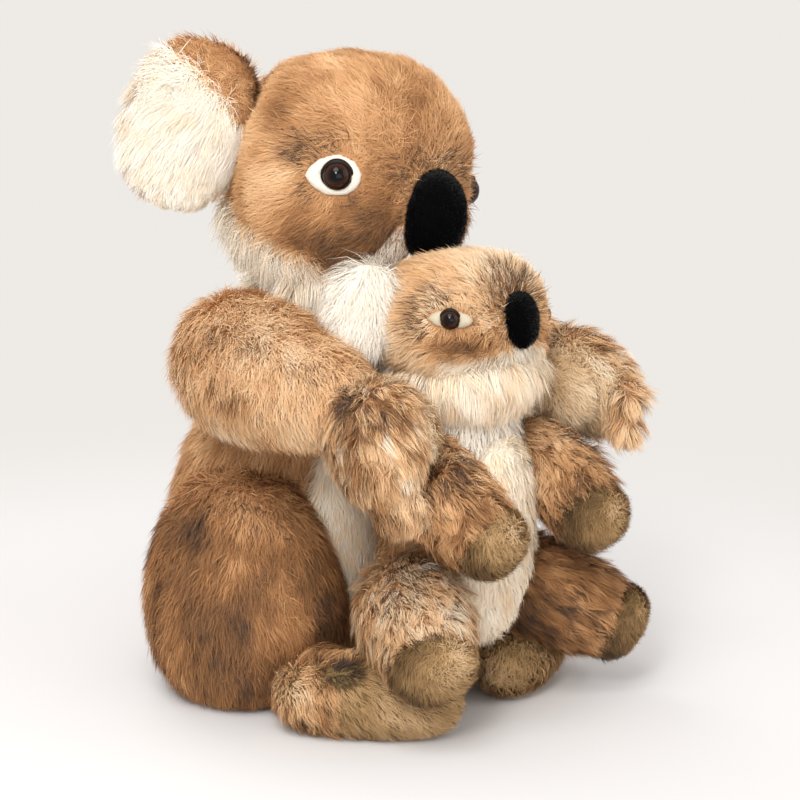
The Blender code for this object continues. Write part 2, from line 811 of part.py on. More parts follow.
def ear_rings(root, side, width, height, thickness, roll):
    """An ear that stands out beside the head, swept back and leaning out."""
    back = Matrix.Rotation(math.radians(-EAR_SWEEP * side), 3, "Z")
    flat = back @ (RIGHT * side)
    through = back @ FORWARD
    tilt = rolled(roll) @ Matrix.Rotation(math.radians(-EAR_LEAN * side), 3, through)
    flat = tilt @ flat
    rise = tilt @ UP
    through = tilt @ through
    middle = root + flat * (width * EAR_OUT_share)
    rings = []
    for along, across, thick, _ in EAR_shares:
        spot = middle + rise * (height * (along - 0.5))
        rings.append(ring(spot, flat * (width * across / 2), through * (thickness * thick / 2)))
    return rings


def build_ears(forms, who, centre, head_size, place, ear_size, roll):
    frame = rolled(roll)
    for tag, side in SIDES:
        out = RIGHT * (side * head_size[0] * place[0])
        back = FORWARD * (-head_size[1] * place[1])
        rise = UP * (head_size[2] * place[2])
        root = centre + frame @ (out + back + rise)
        add_form(forms, f"{who}_ear_{tag}", ear_rings(root, side, *ear_size, roll), 8, white_plush)


def build_mother_head(forms, extra):
    centre = head_centre()
    base = centre - UP * (HEAD_HEIGHT / 2)
    rings = upright_rings(base, HEAD_WIDTH, HEAD_DEPTH, HEAD_HEIGHT, HEAD_shares, 0.0)
    add_form(forms, "mother_head", rings, 10, caramel_plush)
    base = centre - UP * (RUFF_DROP + RUFF_HEIGHT / 2)
    add_form(forms, "mother_ruff", upright_rings(base, RUFF_WIDTH, RUFF_WIDTH, RUFF_HEIGHT, RUFF_shares, 0.0),
             8, white_plush)
    eyes = build_face(forms, extra, "mother", centre, {
        "eye": EYE_DIAMETER, "eye_turn": EYE_TURN, "eye_rise": EYE_RISE,
        "patch_width": PATCH_WIDTH, "patch_height": PATCH_HEIGHT, "patch_swell": PATCH_SWELL,
        "nose_width": NOSE_WIDTH, "nose_height": NOSE_HEIGHT, "nose_swell": NOSE_SWELL, "nose_fall": NOSE_FALL,
        "roll": HEAD_ROLL})
    spot, normal = surface_point(forms["mother_head"], centre, face_direction(0.0, -MUZZLE_FALL))
    rings = pad_rings(spot, normal, UP, MUZZLE_WIDTH, MUZZLE_HEIGHT, MUZZLE_SWELL, PAD_shares)
    add_form(forms, "mother_muzzle", rings, 8, white_plush)
    build_ears(forms, "mother", centre, (HEAD_WIDTH, HEAD_DEPTH, HEAD_HEIGHT), EAR_PLACE_shares,
               (EAR_WIDTH, EAR_HEIGHT, EAR_THICKNESS), HEAD_ROLL)
    return eyes


def build_mother_arms(forms):
    """Arms that reach forward round the young one, with hands whose fingers are joined to the palm."""
    for tag, side in SIDES:
        out = RIGHT * side
        root = out * SHOULDER_SPREAD + FORWARD * (-SHOULDER_BACK) + UP * (TORSO_HEIGHT - SHOULDER_DROP)
        end = root + FORWARD * ARM_REACH - UP * ARM_FALL + out * ARM_SPREAD
        pull = (root + end) / 2 + out * ARM_BOW + UP * ARM_LIFT
        rings = limb_rings((root, pull, end), ARM_WIDTH, ARM_GIRTH, WRIST_GIRTH, WRIST_GIRTH, out, LIMB_shares)
        add_form(forms, f"mother_arm_{tag}", rings, 8, caramel_plush)
        droop = HAND_DROOP_R if side > 0 else HAND_DROOP_L
        ahead = (FORWARD * math.cos(math.radians(droop)) - UP * math.sin(math.radians(droop))).normalized()
        flat = ahead.cross(out).normalized()
        start = end - ahead * (HAND_LENGTH * HAND_ROOT_share)
        tip = start + ahead * HAND_LENGTH
        rings = limb_rings((start, (start + tip) / 2, tip), HAND_WIDTH, HAND_THICKNESS, HAND_WIDTH,
                           HAND_THICKNESS, flat, LIMB_shares)
        add_form(forms, f"mother_hand_{tag}", rings, 8, caramel_plush)
        curl = (ahead * math.cos(math.radians(FINGER_CURL)) - out * math.sin(math.radians(FINGER_CURL)))
        fingers = []
        for number, share in enumerate(FINGER_SPREAD_shares):
            length = FINGER_LENGTH * FINGER_LENGTH_shares[number]
            girth = FINGER_GIRTH * FINGER_GIRTH_shares[number]
            root = tip + flat * (HAND_WIDTH * share) - ahead * (length * FINGER_SUNK_share)
            fan = (curl + flat * (share * FINGER_FAN_share)).normalized()
            line = (root, root + fan * (length / 2), root + fan * length)
            rings = limb_rings(line, girth, girth, girth, girth, out, FINGER_shares)
            name = f"mother_finger_{tag}_{number}"
            finger = loft(name, rings, 5, 1, caramel_plush(name))
            fingers.append(as_cutter(finger))
        join(forms[f"mother_hand_{tag}"], fingers)
        spot, normal = surface_point(forms[f"mother_hand_{tag}"], (start + tip) / 2, -out)
        rings = pad_rings(spot, normal, ahead, PALM_WIDTH, PALM_LENGTH, PALM_SWELL, PAD_shares)
        add_form(forms, f"mother_palm_{tag}", rings, 8, olive_plush)


def build_young(forms, extra):
    """The young koala: a smaller toy that sits on the large one's feet."""
    base = young_base()
    rings = upright_rings(base, YOUNG_TORSO_WIDTH, YOUNG_TORSO_DEPTH, YOUNG_TORSO_HEIGHT, YOUNG_TORSO_shares,
                          YOUNG_NECK_LEAN)
    add_form(forms, "young_torso", rings, 8, caramel_plush)
    middle = base + UP * (YOUNG_TORSO_HEIGHT * YOUNG_BELLY_RISE_share)
    spot, normal = surface_point(forms["young_torso"], middle, FORWARD)
    rings = pad_rings(spot, normal, UP, YOUNG_BELLY_WIDTH, YOUNG_BELLY_HEIGHT, YOUNG_BELLY_SWELL, PAD_shares)
    add_form(forms, "young_belly", rings, 8, white_plush)
    centre = young_head_centre()
    low = centre - UP * (YOUNG_HEAD_HEIGHT / 2)
    rings = upright_rings(low, YOUNG_HEAD_WIDTH, YOUNG_HEAD_DEPTH, YOUNG_HEAD_HEIGHT, HEAD_shares, 0.0)
    add_form(forms, "young_head", rings, 8, caramel_plush)
    low = centre - UP * (YOUNG_RUFF_DROP + YOUNG_RUFF_HEIGHT / 2)
    rings = upright_rings(low, YOUNG_RUFF_WIDTH, YOUNG_RUFF_WIDTH, YOUNG_RUFF_HEIGHT, RUFF_shares, 0.0)
    add_form(forms, "young_ruff", rings, 8, white_plush)
    eyes = build_face(forms, extra, "young", centre, {
        "eye": YOUNG_EYE_DIAMETER, "eye_turn": YOUNG_EYE_TURN, "eye_rise": YOUNG_EYE_RISE,
        "patch_width": YOUNG_PATCH_WIDTH, "patch_height": YOUNG_PATCH_HEIGHT, "patch_swell": YOUNG_PATCH_SWELL,
        "nose_width": YOUNG_NOSE_WIDTH, "nose_height": YOUNG_NOSE_HEIGHT, "nose_swell": YOUNG_NOSE_SWELL,
        "nose_fall": YOUNG_NOSE_FALL, "roll": YOUNG_HEAD_ROLL})
    build_ears(forms, "young", centre, (YOUNG_HEAD_WIDTH, YOUNG_HEAD_DEPTH, YOUNG_HEAD_HEIGHT),
               YOUNG_EAR_PLACE_shares, (YOUNG_EAR_WIDTH, YOUNG_EAR_HEIGHT, YOUNG_EAR_THICKNESS), YOUNG_HEAD_ROLL)
    for tag, side in SIDES:
        build_young_limbs(forms, tag, side)
    return eyes


def young_shoulder(side):
    rise = UP * (YOUNG_TORSO_HEIGHT * YOUNG_SHOULDER_share)
    return young_base() + rise + RIGHT * (side * YOUNG_ARM_SPREAD) + FORWARD * YOUNG_ARM_FORWARD


def young_hip(side):
    drop = YOUNG_HIP_DROP_L if side < 0 else 0.0
    rise = UP * (YOUNG_TORSO_HEIGHT * YOUNG_HIP_share - drop)
    return young_base() + rise + RIGHT * (side * YOUNG_LEG_SPREAD)


def build_young_limbs(forms, tag, side):
    out = RIGHT * side
    root = young_shoulder(side)
    end = root + FORWARD * YOUNG_ARM_REACH - UP * YOUNG_ARM_FALL
    pull = (root + end) / 2 + out * YOUNG_ARM_BOW
    rings = limb_rings((root, pull, end), YOUNG_ARM_GIRTH, YOUNG_ARM_GIRTH, YOUNG_PAW_GIRTH, YOUNG_PAW_GIRTH,
                       out, YOUNG_LIMB_shares)
    add_form(forms, f"young_arm_{tag}", rings, 8, caramel_plush)
    ahead = (end - pull).normalized()
    rings = pad_rings(end, ahead, UP, YOUNG_PAW_GIRTH, YOUNG_PAW_GIRTH, YOUNG_PAW_SWELL, PAW_shares)
    add_form(forms, f"young_paw_{tag}", rings, 8, olive_plush)
    root = young_hip(side)
    splay = YOUNG_LEG_SPLAY_R if side > 0 else YOUNG_LEG_SPLAY_L
    end = root + FORWARD * YOUNG_LEG_REACH - UP * YOUNG_LEG_FALL + out * splay
    pull = (root + end) / 2 + UP * YOUNG_KNEE_RISE
    rings = limb_rings((root, pull, end), YOUNG_LEG_GIRTH, YOUNG_LEG_GIRTH, YOUNG_SOLE_GIRTH, YOUNG_SOLE_GIRTH,
                       out, YOUNG_LIMB_shares)
    add_form(forms, f"young_leg_{tag}", rings, 8, caramel_plush)
    ahead = (end - pull).normalized()
    rings = pad_rings(end, ahead, UP, YOUNG_SOLE_GIRTH, YOUNG_SOLE_GIRTH, YOUNG_SOLE_SWELL, PAW_shares)
    add_form(forms, f"young_sole_{tag}", rings, 8, olive_plush)


# Which larger forms cut each piece at rest. A star stands for the piece's own side.

REST_CUTS = (
    ("mother_torso", ""),
    ("mother_belly", "mother_torso"),
    ("mother_haunch_*", "mother_torso mother_belly"),
    ("mother_foot_*", "mother_torso mother_belly mother_haunch_r mother_haunch_l"),
    ("mother_ankle_*", "mother_torso mother_belly mother_haunch_* mother_foot_*"),
    ("mother_head", ""),
    ("mother_ear_*", "mother_head"),
    ("mother_nose", "mother_head"),
    ("mother_muzzle", "mother_head mother_nose"),
    ("mother_ruff", "mother_head mother_nose mother_muzzle mother_ear_r mother_ear_l"),
    ("mother_patch_*", "mother_head mother_nose"),
    ("mother_arm_*", "mother_torso mother_belly mother_ruff mother_head mother_haunch_*"),
    ("mother_hand_*", "mother_arm_* mother_torso mother_belly mother_haunch_*"),
    ("mother_palm_*", "mother_arm_* mother_hand_*"),
    ("young_torso", "mother_torso mother_belly mother_ruff"),
    ("young_belly", "young_torso"),
    ("young_head", "mother_torso mother_belly mother_ruff mother_nose mother_muzzle mother_head"),
    ("young_ruff", "young_head mother_torso mother_belly mother_ruff"),
    ("young_ear_*", "young_head young_ruff mother_ruff mother_torso mother_belly mother_head"),
    ("young_nose", "young_head young_ruff"),
    ("young_patch_*", "young_head young_ruff young_nose"),
    ("young_arm_*", "young_torso young_belly young_head young_ruff mother_torso mother_belly"),
    ("young_paw_*", "young_arm_*"),
    ("young_leg_*", "young_torso young_belly young_arm_* young_paw_* mother_torso mother_belly"),
    ("young_sole_*", "young_leg_* young_arm_* young_paw_*"),
)

# What the young one passes as it slides out, and which of its pieces meet it

STANDING = (
    "mother_haunch_r", "mother_haunch_l", "mother_foot_r", "mother_foot_l", "mother_ankle_r", "mother_ankle_l",
    "mother_arm_r", "mother_arm_l", "mother_hand_r", "mother_hand_l", "mother_palm_r", "mother_palm_l",
    "mother_nose", "mother_muzzle",
)


def lift_direction():
    return FORWARD * math.cos(math.radians(YOUNG_LIFT_SLOPE)) + UP * math.sin(math.radians(YOUNG_LIFT_SLOPE))


def span(low, high, steps):
    return [low + (high - low) * step / steps for step in range(steps + 1)]


def add_turn_rooms(extra, gaps):
    """What each turning piece meets on its way."""
    spun = {}
    for who, pivot, base, height in (
        ("mother", head_centre(), 0.0, TORSO_HEIGHT),
        ("young", young_head_centre(), young_base().z, YOUNG_TORSO_HEIGHT),
    ):
        room = spun_room(gaps[f"{who}_torso"], pivot, base + height * NECK_FOOT_share)
        for name in (f"{who}_head", f"{who}_ruff"):
            extra.setdefault(name, []).append(room)
        spun[who] = [swept_room(gaps[f"{who}_{name}"], "turned", neck_places(pivot, HEAD_TURN))
                     for name in ("head", "ruff", "nose")]
    spun["mother"].append(swept_room(gaps["mother_muzzle"], "turned", neck_places(head_centre(), HEAD_TURN)))
    head_pieces = ["young_head", "young_ruff", "young_nose"]
    head_pieces += [f"young_{name}_{tag}" for name in ("ear", "patch") for tag, _ in SIDES]
    turns = neck_places(young_head_centre(), YOUNG_HEAD_TURN)
    for near in ("arm", "hand", "palm"):
        for tag, _ in SIDES:
            room = swept_room(gaps[f"mother_{near}_{tag}"], "young_turned", turns)
            for name in head_pieces:
                extra.setdefault(name, []).append(room)
    both = [turn @ other for turn in turns for other in neck_places(head_centre(), HEAD_TURN)]
    room = swept_room(gaps["mother_ruff"], "young_turned", both)
    for name in head_pieces:
        extra.setdefault(name, []).append(room)
    for name in head_pieces + ["young_torso", "mother_arm_r", "mother_arm_l"]:
        extra.setdefault(name, []).extend(spun["mother"])
    for tag, side in SIDES:
        raised = [turned(young_shoulder(side), "X", angle) for angle in span(0.0, YOUNG_ARM_RAISE, 3)]
        near = ("young_torso", "young_belly", "young_ruff", f"mother_hand_{tag}", f"mother_palm_{tag}")
        rooms = [swept_room(gaps[name], f"arm_{tag}", raised) for name in near]
        for name in (f"young_arm_{tag}", f"young_paw_{tag}"):
            extra.setdefault(name, []).extend(rooms + spun["young"])
        raised = [turned(young_hip(side), "X", angle) for angle in span(0.0, YOUNG_LEG_RAISE, 2)]
        near = ("young_torso", "young_belly", f"young_arm_{tag}", f"young_paw_{tag}", f"mother_foot_{tag}")
        rooms = [swept_room(gaps[name], f"leg_{tag}", raised) for name in near]
        for name in (f"young_leg_{tag}", f"young_sole_{tag}"):
            extra.setdefault(name, []).extend(rooms)


def neck_places(pivot, turn):
    return [turned(pivot, "Z", angle) for angle in span(-turn, turn, 4)]


def add_slide_rooms(extra, gaps, forms):
    """What the young one passes on its way out of the lap."""
    places = (slid(-lift_direction(), 0.0), slid(-lift_direction(), YOUNG_LIFT / 2))
    rooms = [swept_room(gaps[name], "slid", places) for name in STANDING]
    for name in forms:
        if name.startswith("young_"):
            extra.setdefault(name, []).extend(rooms)


def sided(names, tag):
    return names.replace("*", tag).split()


def make_cuts(forms, gaps, extra, floor):
    for piece, larger in REST_CUTS:
        tags = ("r", "l") if "*" in piece else ("",)
        for tag in tags:
            name = piece.replace("*", tag)
            cutters = [gaps[near] for near in sided(larger, tag)]
            cut(forms[name], [floor] + cutters + extra.get(name, []))


# Joints: each empty stands on the line that its pieces turn about, or slide along

def joint_lines():
    """Name, parent's name, pivot and axis of each joint, parents first."""
    found = [
        ("mother_head", None, neck_pivot(), UP),
        ("young", None, young_base(), lift_direction()),
        ("young_head", "young", young_head_centre(), UP),
    ]
    for tag, side in SIDES:
        found.append((f"mother_arm_{tag}", None, shoulder_pivot(side), UP * -side))
        found.append((f"young_arm_{tag}", "young", young_shoulder(side), RIGHT))
        found.append((f"young_leg_{tag}", "young", young_hip(side), RIGHT))
    return found


def joint_of(name):
    """The joint that a piece rides on, or None where it is sewn to the large one's body."""
    who, rest = name.split("_", 1)
    kind = rest.rsplit("_", 1)[0]
    tag = rest.rsplit("_", 1)[-1]
    if kind in ("arm", "hand", "palm", "paw"):
        return f"{who}_arm_{tag}"
    if kind in ("leg", "sole"):
        return f"{who}_leg_{tag}"
    if rest in ("head", "ruff", "nose", "muzzle") or kind in ("ear", "eye", "washer", "patch"):
        return f"{who}_head"
    return "young" if who == "young" else None


def hang_on_joints(pieces):
    """Puts the origin of every moving piece on its joint's line, under that joint's empty."""
    places = {None: Matrix.Identity(4)}
    empties = {None: None}
    for name, above, pivot, axis in joint_lines():
        places[name] = Matrix.Translation(pivot) @ axis.to_track_quat("Z", "Y").to_matrix().to_4x4()
        empties[name] = put(f"joint_{name}", None, PART_COLLECTION)
        hang(empties[name], empties[above], places[above].inverted() @ places[name])
    for piece in pieces:
        name = joint_of(piece.name)
        if name is not None:
            piece.data.transform(places[name].inverted())
            hang(piece, empties[name], places[None])


def hang(item, above, place):
    item.parent = above
    item.matrix_parent_inverse = Matrix.Identity(4)
    item.matrix_basis = place


def main():
    clear_scene()
    floor = floor_cutter()
    forms = {}
    extra = {}
    build_mother_body(forms)
    build_mother_head(forms, extra)
    build_mother_arms(forms)
    build_young(forms, extra)
    gaps = {name: gap_cutter(item) for name, item in forms.items()}
    add_turn_rooms(extra, gaps)
    add_slide_rooms(extra, gaps, forms)
    make_cuts(forms, gaps, extra, floor)
    hang_on_joints([item for item in bpy.data.collections[PART_COLLECTION].objects if item.type == "MESH"])


main()
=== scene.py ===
"""Looks for the plush koala with its young: pile fabric, felt patches, velvet noses and glossy eyes.

Every stuffed solid is replaced by a padded skin, and the pile on it is short tapered ribbons, grown
from the skin along a combed direction. All lengths are in metres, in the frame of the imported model.
"""

import json
import math

import bmesh
import bpy
import numpy as np
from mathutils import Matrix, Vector
from mathutils.bvhtree import BVHTree
from mathutils.kdtree import KDTree

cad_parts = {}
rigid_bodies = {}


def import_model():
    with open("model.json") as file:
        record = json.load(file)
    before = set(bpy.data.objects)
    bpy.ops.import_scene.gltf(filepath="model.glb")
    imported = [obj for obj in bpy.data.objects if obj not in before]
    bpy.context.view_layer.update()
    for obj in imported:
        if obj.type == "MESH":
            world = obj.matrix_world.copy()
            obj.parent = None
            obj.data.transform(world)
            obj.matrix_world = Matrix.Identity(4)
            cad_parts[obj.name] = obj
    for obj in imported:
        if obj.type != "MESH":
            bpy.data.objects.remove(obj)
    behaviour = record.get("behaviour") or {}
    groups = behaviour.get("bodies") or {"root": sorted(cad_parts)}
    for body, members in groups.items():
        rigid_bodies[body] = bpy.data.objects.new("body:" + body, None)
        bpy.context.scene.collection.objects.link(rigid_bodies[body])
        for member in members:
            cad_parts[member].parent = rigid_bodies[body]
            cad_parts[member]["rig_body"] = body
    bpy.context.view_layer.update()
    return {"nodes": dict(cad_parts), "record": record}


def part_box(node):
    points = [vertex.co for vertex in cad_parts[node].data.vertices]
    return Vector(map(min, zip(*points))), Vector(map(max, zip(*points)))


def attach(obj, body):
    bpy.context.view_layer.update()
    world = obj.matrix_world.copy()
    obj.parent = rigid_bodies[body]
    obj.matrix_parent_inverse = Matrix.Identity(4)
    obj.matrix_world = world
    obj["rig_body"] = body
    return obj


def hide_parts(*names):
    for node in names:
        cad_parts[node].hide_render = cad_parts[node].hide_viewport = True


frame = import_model()

CAMERA_TURN = -45.0
CAMERA_RISE = 11.0
CAMERA_DISTANCE = 1.25
CAMERA_TARGET = (-0.0045, -0.1005, 0.1875)
CAMERA_LENS = 90.0
CAMERA_SENSOR = 36.0

LAMP_COLOUR = (1.0, 0.985, 0.96)
LAMPS = (  # name, place, size and power
    ("key", (-1.0, -0.7, 1.7), 1.1, 17.8),
    ("fill", (0.7, -1.7, 0.9), 1.5, 6.0),
    ("catch", (-1.08, -0.84, 0.98), 0.32, 8.0),
    ("low", (-0.75, -1.30, 0.24), 1.1, 4.6),
    ("back", (0.3, 1.2, 1.4), 1.2, 8.5),
)
SKY_COLOUR = (255, 252, 248)
SKY_STRENGTH = 0.75
BACKDROP = (238, 234, 229)
FLOOR_COLOUR = (218, 217, 218)
FLOOR_LIGHT = (221, 220, 221)
FLOOR_SIZE = 60.0
FADE_START, FADE_END = 0.28, 0.85  # how far from the toy the floor turns into the backdrop

DENSITY = 1.0
WIDTH_GAIN = 1.0
FLOOR_CLEARANCE = 0.0006
COVER_REACH = 0.016  # how far above a root something may cover it
FULL_ROOM = 0.011  # the room above a root that full pile needs
ROOT_DEPTH = 0.0006
CHART = "OFBake"
CHART_EDGE = 0.02
CHART_HALF_WIDTH = 0.006
FIRST_SEED, NODE_SEEDS, PILE_SEEDS = 1000, 20, 9

SKIN_PUFF = 0.0004
SKIN_VOXEL, SMALL_VOXEL, TRIM_VOXEL = 0.0034, 0.0022, 0.0012
CORNER_OUT, CORNER_BACK = 0.0045, 0.0016
LID_STEPS, LID_ROUND_STEPS = 40, 10

UP = np.array((0.0, 0.0, 1.0))
SIDES = (("r", 1.0), ("l", -1.0))


# Colours

def linear(colour):
    """A linear colour from one written in 0 to 255."""
    out = []
    for value in colour:
        share = value / 255.0
        out.append(share / 12.92 if share <= 0.04045 else ((share + 0.055) / 1.055) ** 2.4)
    return tuple(out)


CARAMEL = (
    (0.00, (66, 57, 54)), (0.12, (118, 84, 58)), (0.30, (182, 130, 84)), (0.50, (229, 181, 131)),
    (0.68, (246, 211, 168)), (0.82, (250, 234, 210)), (1.00, (252, 247, 238)),
)
OLIVE = (
    (0.00, (46, 38, 32)), (0.20, (124, 95, 62)), (0.42, (176, 141, 96)), (0.64, (216, 180, 135)),
    (0.84, (236, 208, 170)), (1.00, (246, 232, 208)),
)
VELVET = ((0.00, (1, 1, 2)), (0.50, (4, 4, 5)), (1.00, (18, 17, 20)))
IRIS = (
    (0.00, (2, 1, 1)), (0.46, (4, 2, 2)), (0.60, (34, 16, 8)), (0.76, (56, 27, 13)), (0.88, (18, 9, 6)),
    (1.00, (8, 4, 3)),
)


# Materials

def new_material(name, roughness=0.5, gloss=0.5):
    """A material, its nodes and its shader."""
    made = bpy.data.materials.new(name)
    made.use_nodes = True
    shader = made.node_tree.nodes["Principled BSDF"]
    shader.inputs["Roughness"].default_value = roughness
    shader.inputs["Specular IOR Level"].default_value = gloss
    return made, made.node_tree, shader


def feed(tree, socket, value):
    """Links another node's output to a socket, or sets the socket to a plain value."""
    if isinstance(value, bpy.types.NodeSocket):
        tree.links.new(value, socket)
    else:
        socket.default_value = value


def add_node(tree, kind, *values, operation=None):
    """A node with its first inputs fed in their order."""
    node = tree.nodes.new(kind)
    if operation:
        node.operation = operation
    for socket, value in zip(node.inputs, values):
        feed(tree, socket, value)
    return node


def maths(tree, operation, *values):
    return add_node(tree, "ShaderNodeMath", *values, operation=operation).outputs[0]


def vector_maths(tree, operation, *values):
    """The two outputs of an operation on vectors: a vector and a value."""
    return add_node(tree, "ShaderNodeVectorMath", *values, operation=operation).outputs


def object_space(tree):
    return tree.nodes.new("ShaderNodeTexCoord").outputs["Object"]


def grain(tree, scale, detail=None):
    """Noise in the toy's own space."""
    node = add_node(tree, "ShaderNodeTexNoise", object_space(tree))
    node.inputs["Scale"].default_value = scale
    if detail is not None:
        node.inputs["Detail"].default_value = detail
    return node.outputs[0]


def ramp(tree, value, stops):
    """The linear colour at a value along some stops."""
    node = add_node(tree, "ShaderNodeValToRGB", value)
    while len(node.color_ramp.elements) < len(stops):
        node.color_ramp.elements.new(0.5)
    for element, (place, colour) in zip(node.color_ramp.elements, stops):
        element.position = place
        element.color = (*colour, 1.0)
    return node.outputs[0]


def palette_ramp(tree, value, palette):
    return ramp(tree, value, [(place, linear(colour)) for place, colour in palette])


def pile_material(name, palette, root, gloss=0.2):
    """A ribbon's colour: its tint lies along U of the chart, and root to tip along V."""
    made, tree, shader = new_material(name, 0.72, gloss)
    chart = tree.nodes.new("ShaderNodeUVMap")
    chart.uv_map = CHART
    split = add_node(tree, "ShaderNodeSeparateXYZ", chart.outputs[0])
    mixed = tree.nodes.new("ShaderNodeMix")
    mixed.data_type = "RGBA"
    mixed.blend_type = "MULTIPLY"
    mixed.inputs[0].default_value = 1.0
    feed(tree, mixed.inputs[6], palette_ramp(tree, split.outputs[0], palette))
    shades = ((0.0, root), (0.45, (root + 2.0) / 3.0), (1.0, 1.0))
    feed(tree, mixed.inputs[7], ramp(tree, split.outputs[1], [(place, (grey,) * 3) for place, grey in shades]))
    feed(tree, shader.inputs["Base Color"], mixed.outputs[2])
    return made


def skin_material(name, dark, light, scale, bump=0.5):
    """The woven base under a pile: mottled colour with a fine bump."""
    made, tree, shader = new_material(name, 0.9, 0.2)
    fine = grain(tree, scale, 5.0)
    half = maths(tree, "MULTIPLY", maths(tree, "ADD", grain(tree, 26.0, 4.0), fine), 0.5)
    feed(tree, shader.inputs["Base Color"], palette_ramp(tree, half, ((0.36, dark), (0.64, light))))
    relief = tree.nodes.new("ShaderNodeBump")
    for name_of, value in (("Strength", bump), ("Distance", 0.0012), ("Height", fine)):
        feed(tree, relief.inputs[name_of], value)
    feed(tree, shader.inputs["Normal"], relief.outputs[0])
    return made


def ranged(tree, value, low, high):
    """A value from 0 to 1, moved to another range."""
    node = add_node(tree, "ShaderNodeMapRange", value)
    node.inputs["To Min"].default_value = low
    node.inputs["To Max"].default_value = high
    return node.outputs[0]


def moulded_material(name, scale, dark, light, rough, gloss=0.5):
    """Moulded plastic with a faint grain."""
    made, tree, shader = new_material(name, gloss=gloss)
    speck = grain(tree, scale)
    feed(tree, shader.inputs["Base Color"], palette_ramp(tree, speck, ((0.3, dark), (0.7, light))))
    feed(tree, shader.inputs["Roughness"], ranged(tree, speck, *rough))
    return made


def eye_material(name, centre, axis, radius):
    """A glossy eye: a black pupil inside a brown iris that darkens to its rim."""
    made, tree, shader = new_material(name, gloss=0.22)
    away = vector_maths(tree, "SUBTRACT", object_space(tree), centre)[0]
    across = vector_maths(tree, "CROSS_PRODUCT", away, axis)[0]
    share = maths(tree, "DIVIDE", vector_maths(tree, "LENGTH", across)["Value"], radius)
    streak = grain(tree, 900.0)
    wobble = maths(tree, "MULTIPLY_ADD", streak, 0.08, share)
    feed(tree, shader.inputs["Base Color"], palette_ramp(tree, wobble, IRIS))
    feed(tree, shader.inputs["Roughness"], ranged(tree, streak, 0.03, 0.07))
    return made


def ear_skin_material(name, front, back):
    """White on the side that looks forward, and caramel on the back and the upper inner corner."""
    made, tree, shader = new_material(name, 0.9, 0.2)
    low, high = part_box("mother_ear_l")
    across, up = 1.0 / (high[0] - low[0]), 0.85 / (high[2] - low[2])
    start = 0.28 - across * low[0] + up * low[2]
    both_ears = vector_maths(tree, "ABSOLUTE", object_space(tree))[0]
    corner = vector_maths(tree, "DOT_PRODUCT", both_ears, (-across, 0.0, up))["Value"]
    normal = tree.nodes.new("ShaderNodeTexCoord").outputs["Normal"]
    behind = add_node(tree, "ShaderNodeSeparateXYZ", normal).outputs[1]
    larger = maths(tree, "MAXIMUM", maths(tree, "SUBTRACT", corner, start - 0.6), behind)
    wobble = maths(tree, "MULTIPLY_ADD", grain(tree, 300.0), 0.1, larger)
    feed(tree, shader.inputs["Base Color"], palette_ramp(tree, wobble, ((0.62, front), (0.70, back))))
    return made


# Skins

def mesh_arrays(mesh):
    """A mesh's vertices, their normals and its triangles."""
    mesh.calc_loop_triangles()
    spots = np.empty(len(mesh.vertices) * 3)
    mesh.vertices.foreach_get("co", spots)
    normals = np.empty(len(mesh.vertices) * 3)
    mesh.vertices.foreach_get("normal", normals)
    corners = np.empty(len(mesh.loop_triangles) * 3, np.int64)
    mesh.loop_triangles.foreach_get("vertices", corners)
    return spots.reshape(-1, 3), normals.reshape(-1, 3), corners.reshape(-1, 3)


def node_arrays(name):
    """A node's vertices and triangles at rest."""
    spots, _, corners = mesh_arrays(frame["nodes"][name].data)
    return spots, corners


def move_to(mesh, spots):
    mesh.vertices.foreach_set("co", spots.ravel())
    mesh.update()


def body_of(name):
    return frame["nodes"][name]["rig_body"]


def link(name, data):
    made = bpy.data.objects.new(name, data)
    bpy.context.scene.collection.objects.link(made)
    return made


def padded_skin(node, voxel, skin):
    """A rounded, slightly fuller copy of a stuffed solid."""
    mesh = frame["nodes"][node].data.copy()
    mesh.name = node.replace("_", "_skin_", 1)
    made = link(mesh.name, mesh)
    mesh.materials.clear()
    mesh.materials.append(skin)
    weld = made.modifiers.new("weld", "WELD")
    weld.merge_threshold = 0.00002
    remesh = made.modifiers.new("remesh", "REMESH")
    remesh.mode = "VOXEL"
    remesh.voxel_size = voxel
    remesh.use_smooth_shade = True
    ease = made.modifiers.new("ease", "SMOOTH")
    ease.factor = 0.5
    ease.iterations = 4
    swell = made.modifiers.new("swell", "DISPLACE")
    swell.strength = SKIN_PUFF
    swell.mid_level = 0.0
    bpy.context.view_layer.update()
    graph = bpy.context.evaluated_depsgraph_get()
    done = bpy.data.meshes.new_from_object(made.evaluated_get(graph))
    made.modifiers.clear()
    made.data = done
    fill_out(done, node)
    draw_corner(done, node)
    lift_off_floor(done)
    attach(made, body_of(node))
    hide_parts(node)
    return made


FULLER = {  # how much more each skin swells, and what it keeps clear of
    "mother_head": (
        0.0045, ("mother_patch_r", "mother_patch_l", "mother_nose", "mother_ear_r", "mother_ear_l")),
    "mother_haunch_r": (0.0030, ("mother_ankle_r", "mother_belly")),
    "mother_haunch_l": (0.0030, ("mother_ankle_l", "mother_belly")),
    "young_head": (0.0020, ("young_patch_r", "young_patch_l", "young_nose")),
}


def fill_out(mesh, node):
    """Swells a skin a little more, but not where other pieces stand on it."""
    if node not in FULLER:
        return
    amount, keep_clear = FULLER[node]
    spots, normals, _ = mesh_arrays(mesh)
    share = np.ones(len(spots))
    for other in keep_clear:
        far, _ = nearest_to(tree_of(other), spots)
        share *= smoothstep(0.004, 0.024, far)
    move_to(mesh, spots + normals * (amount * share)[:, None])


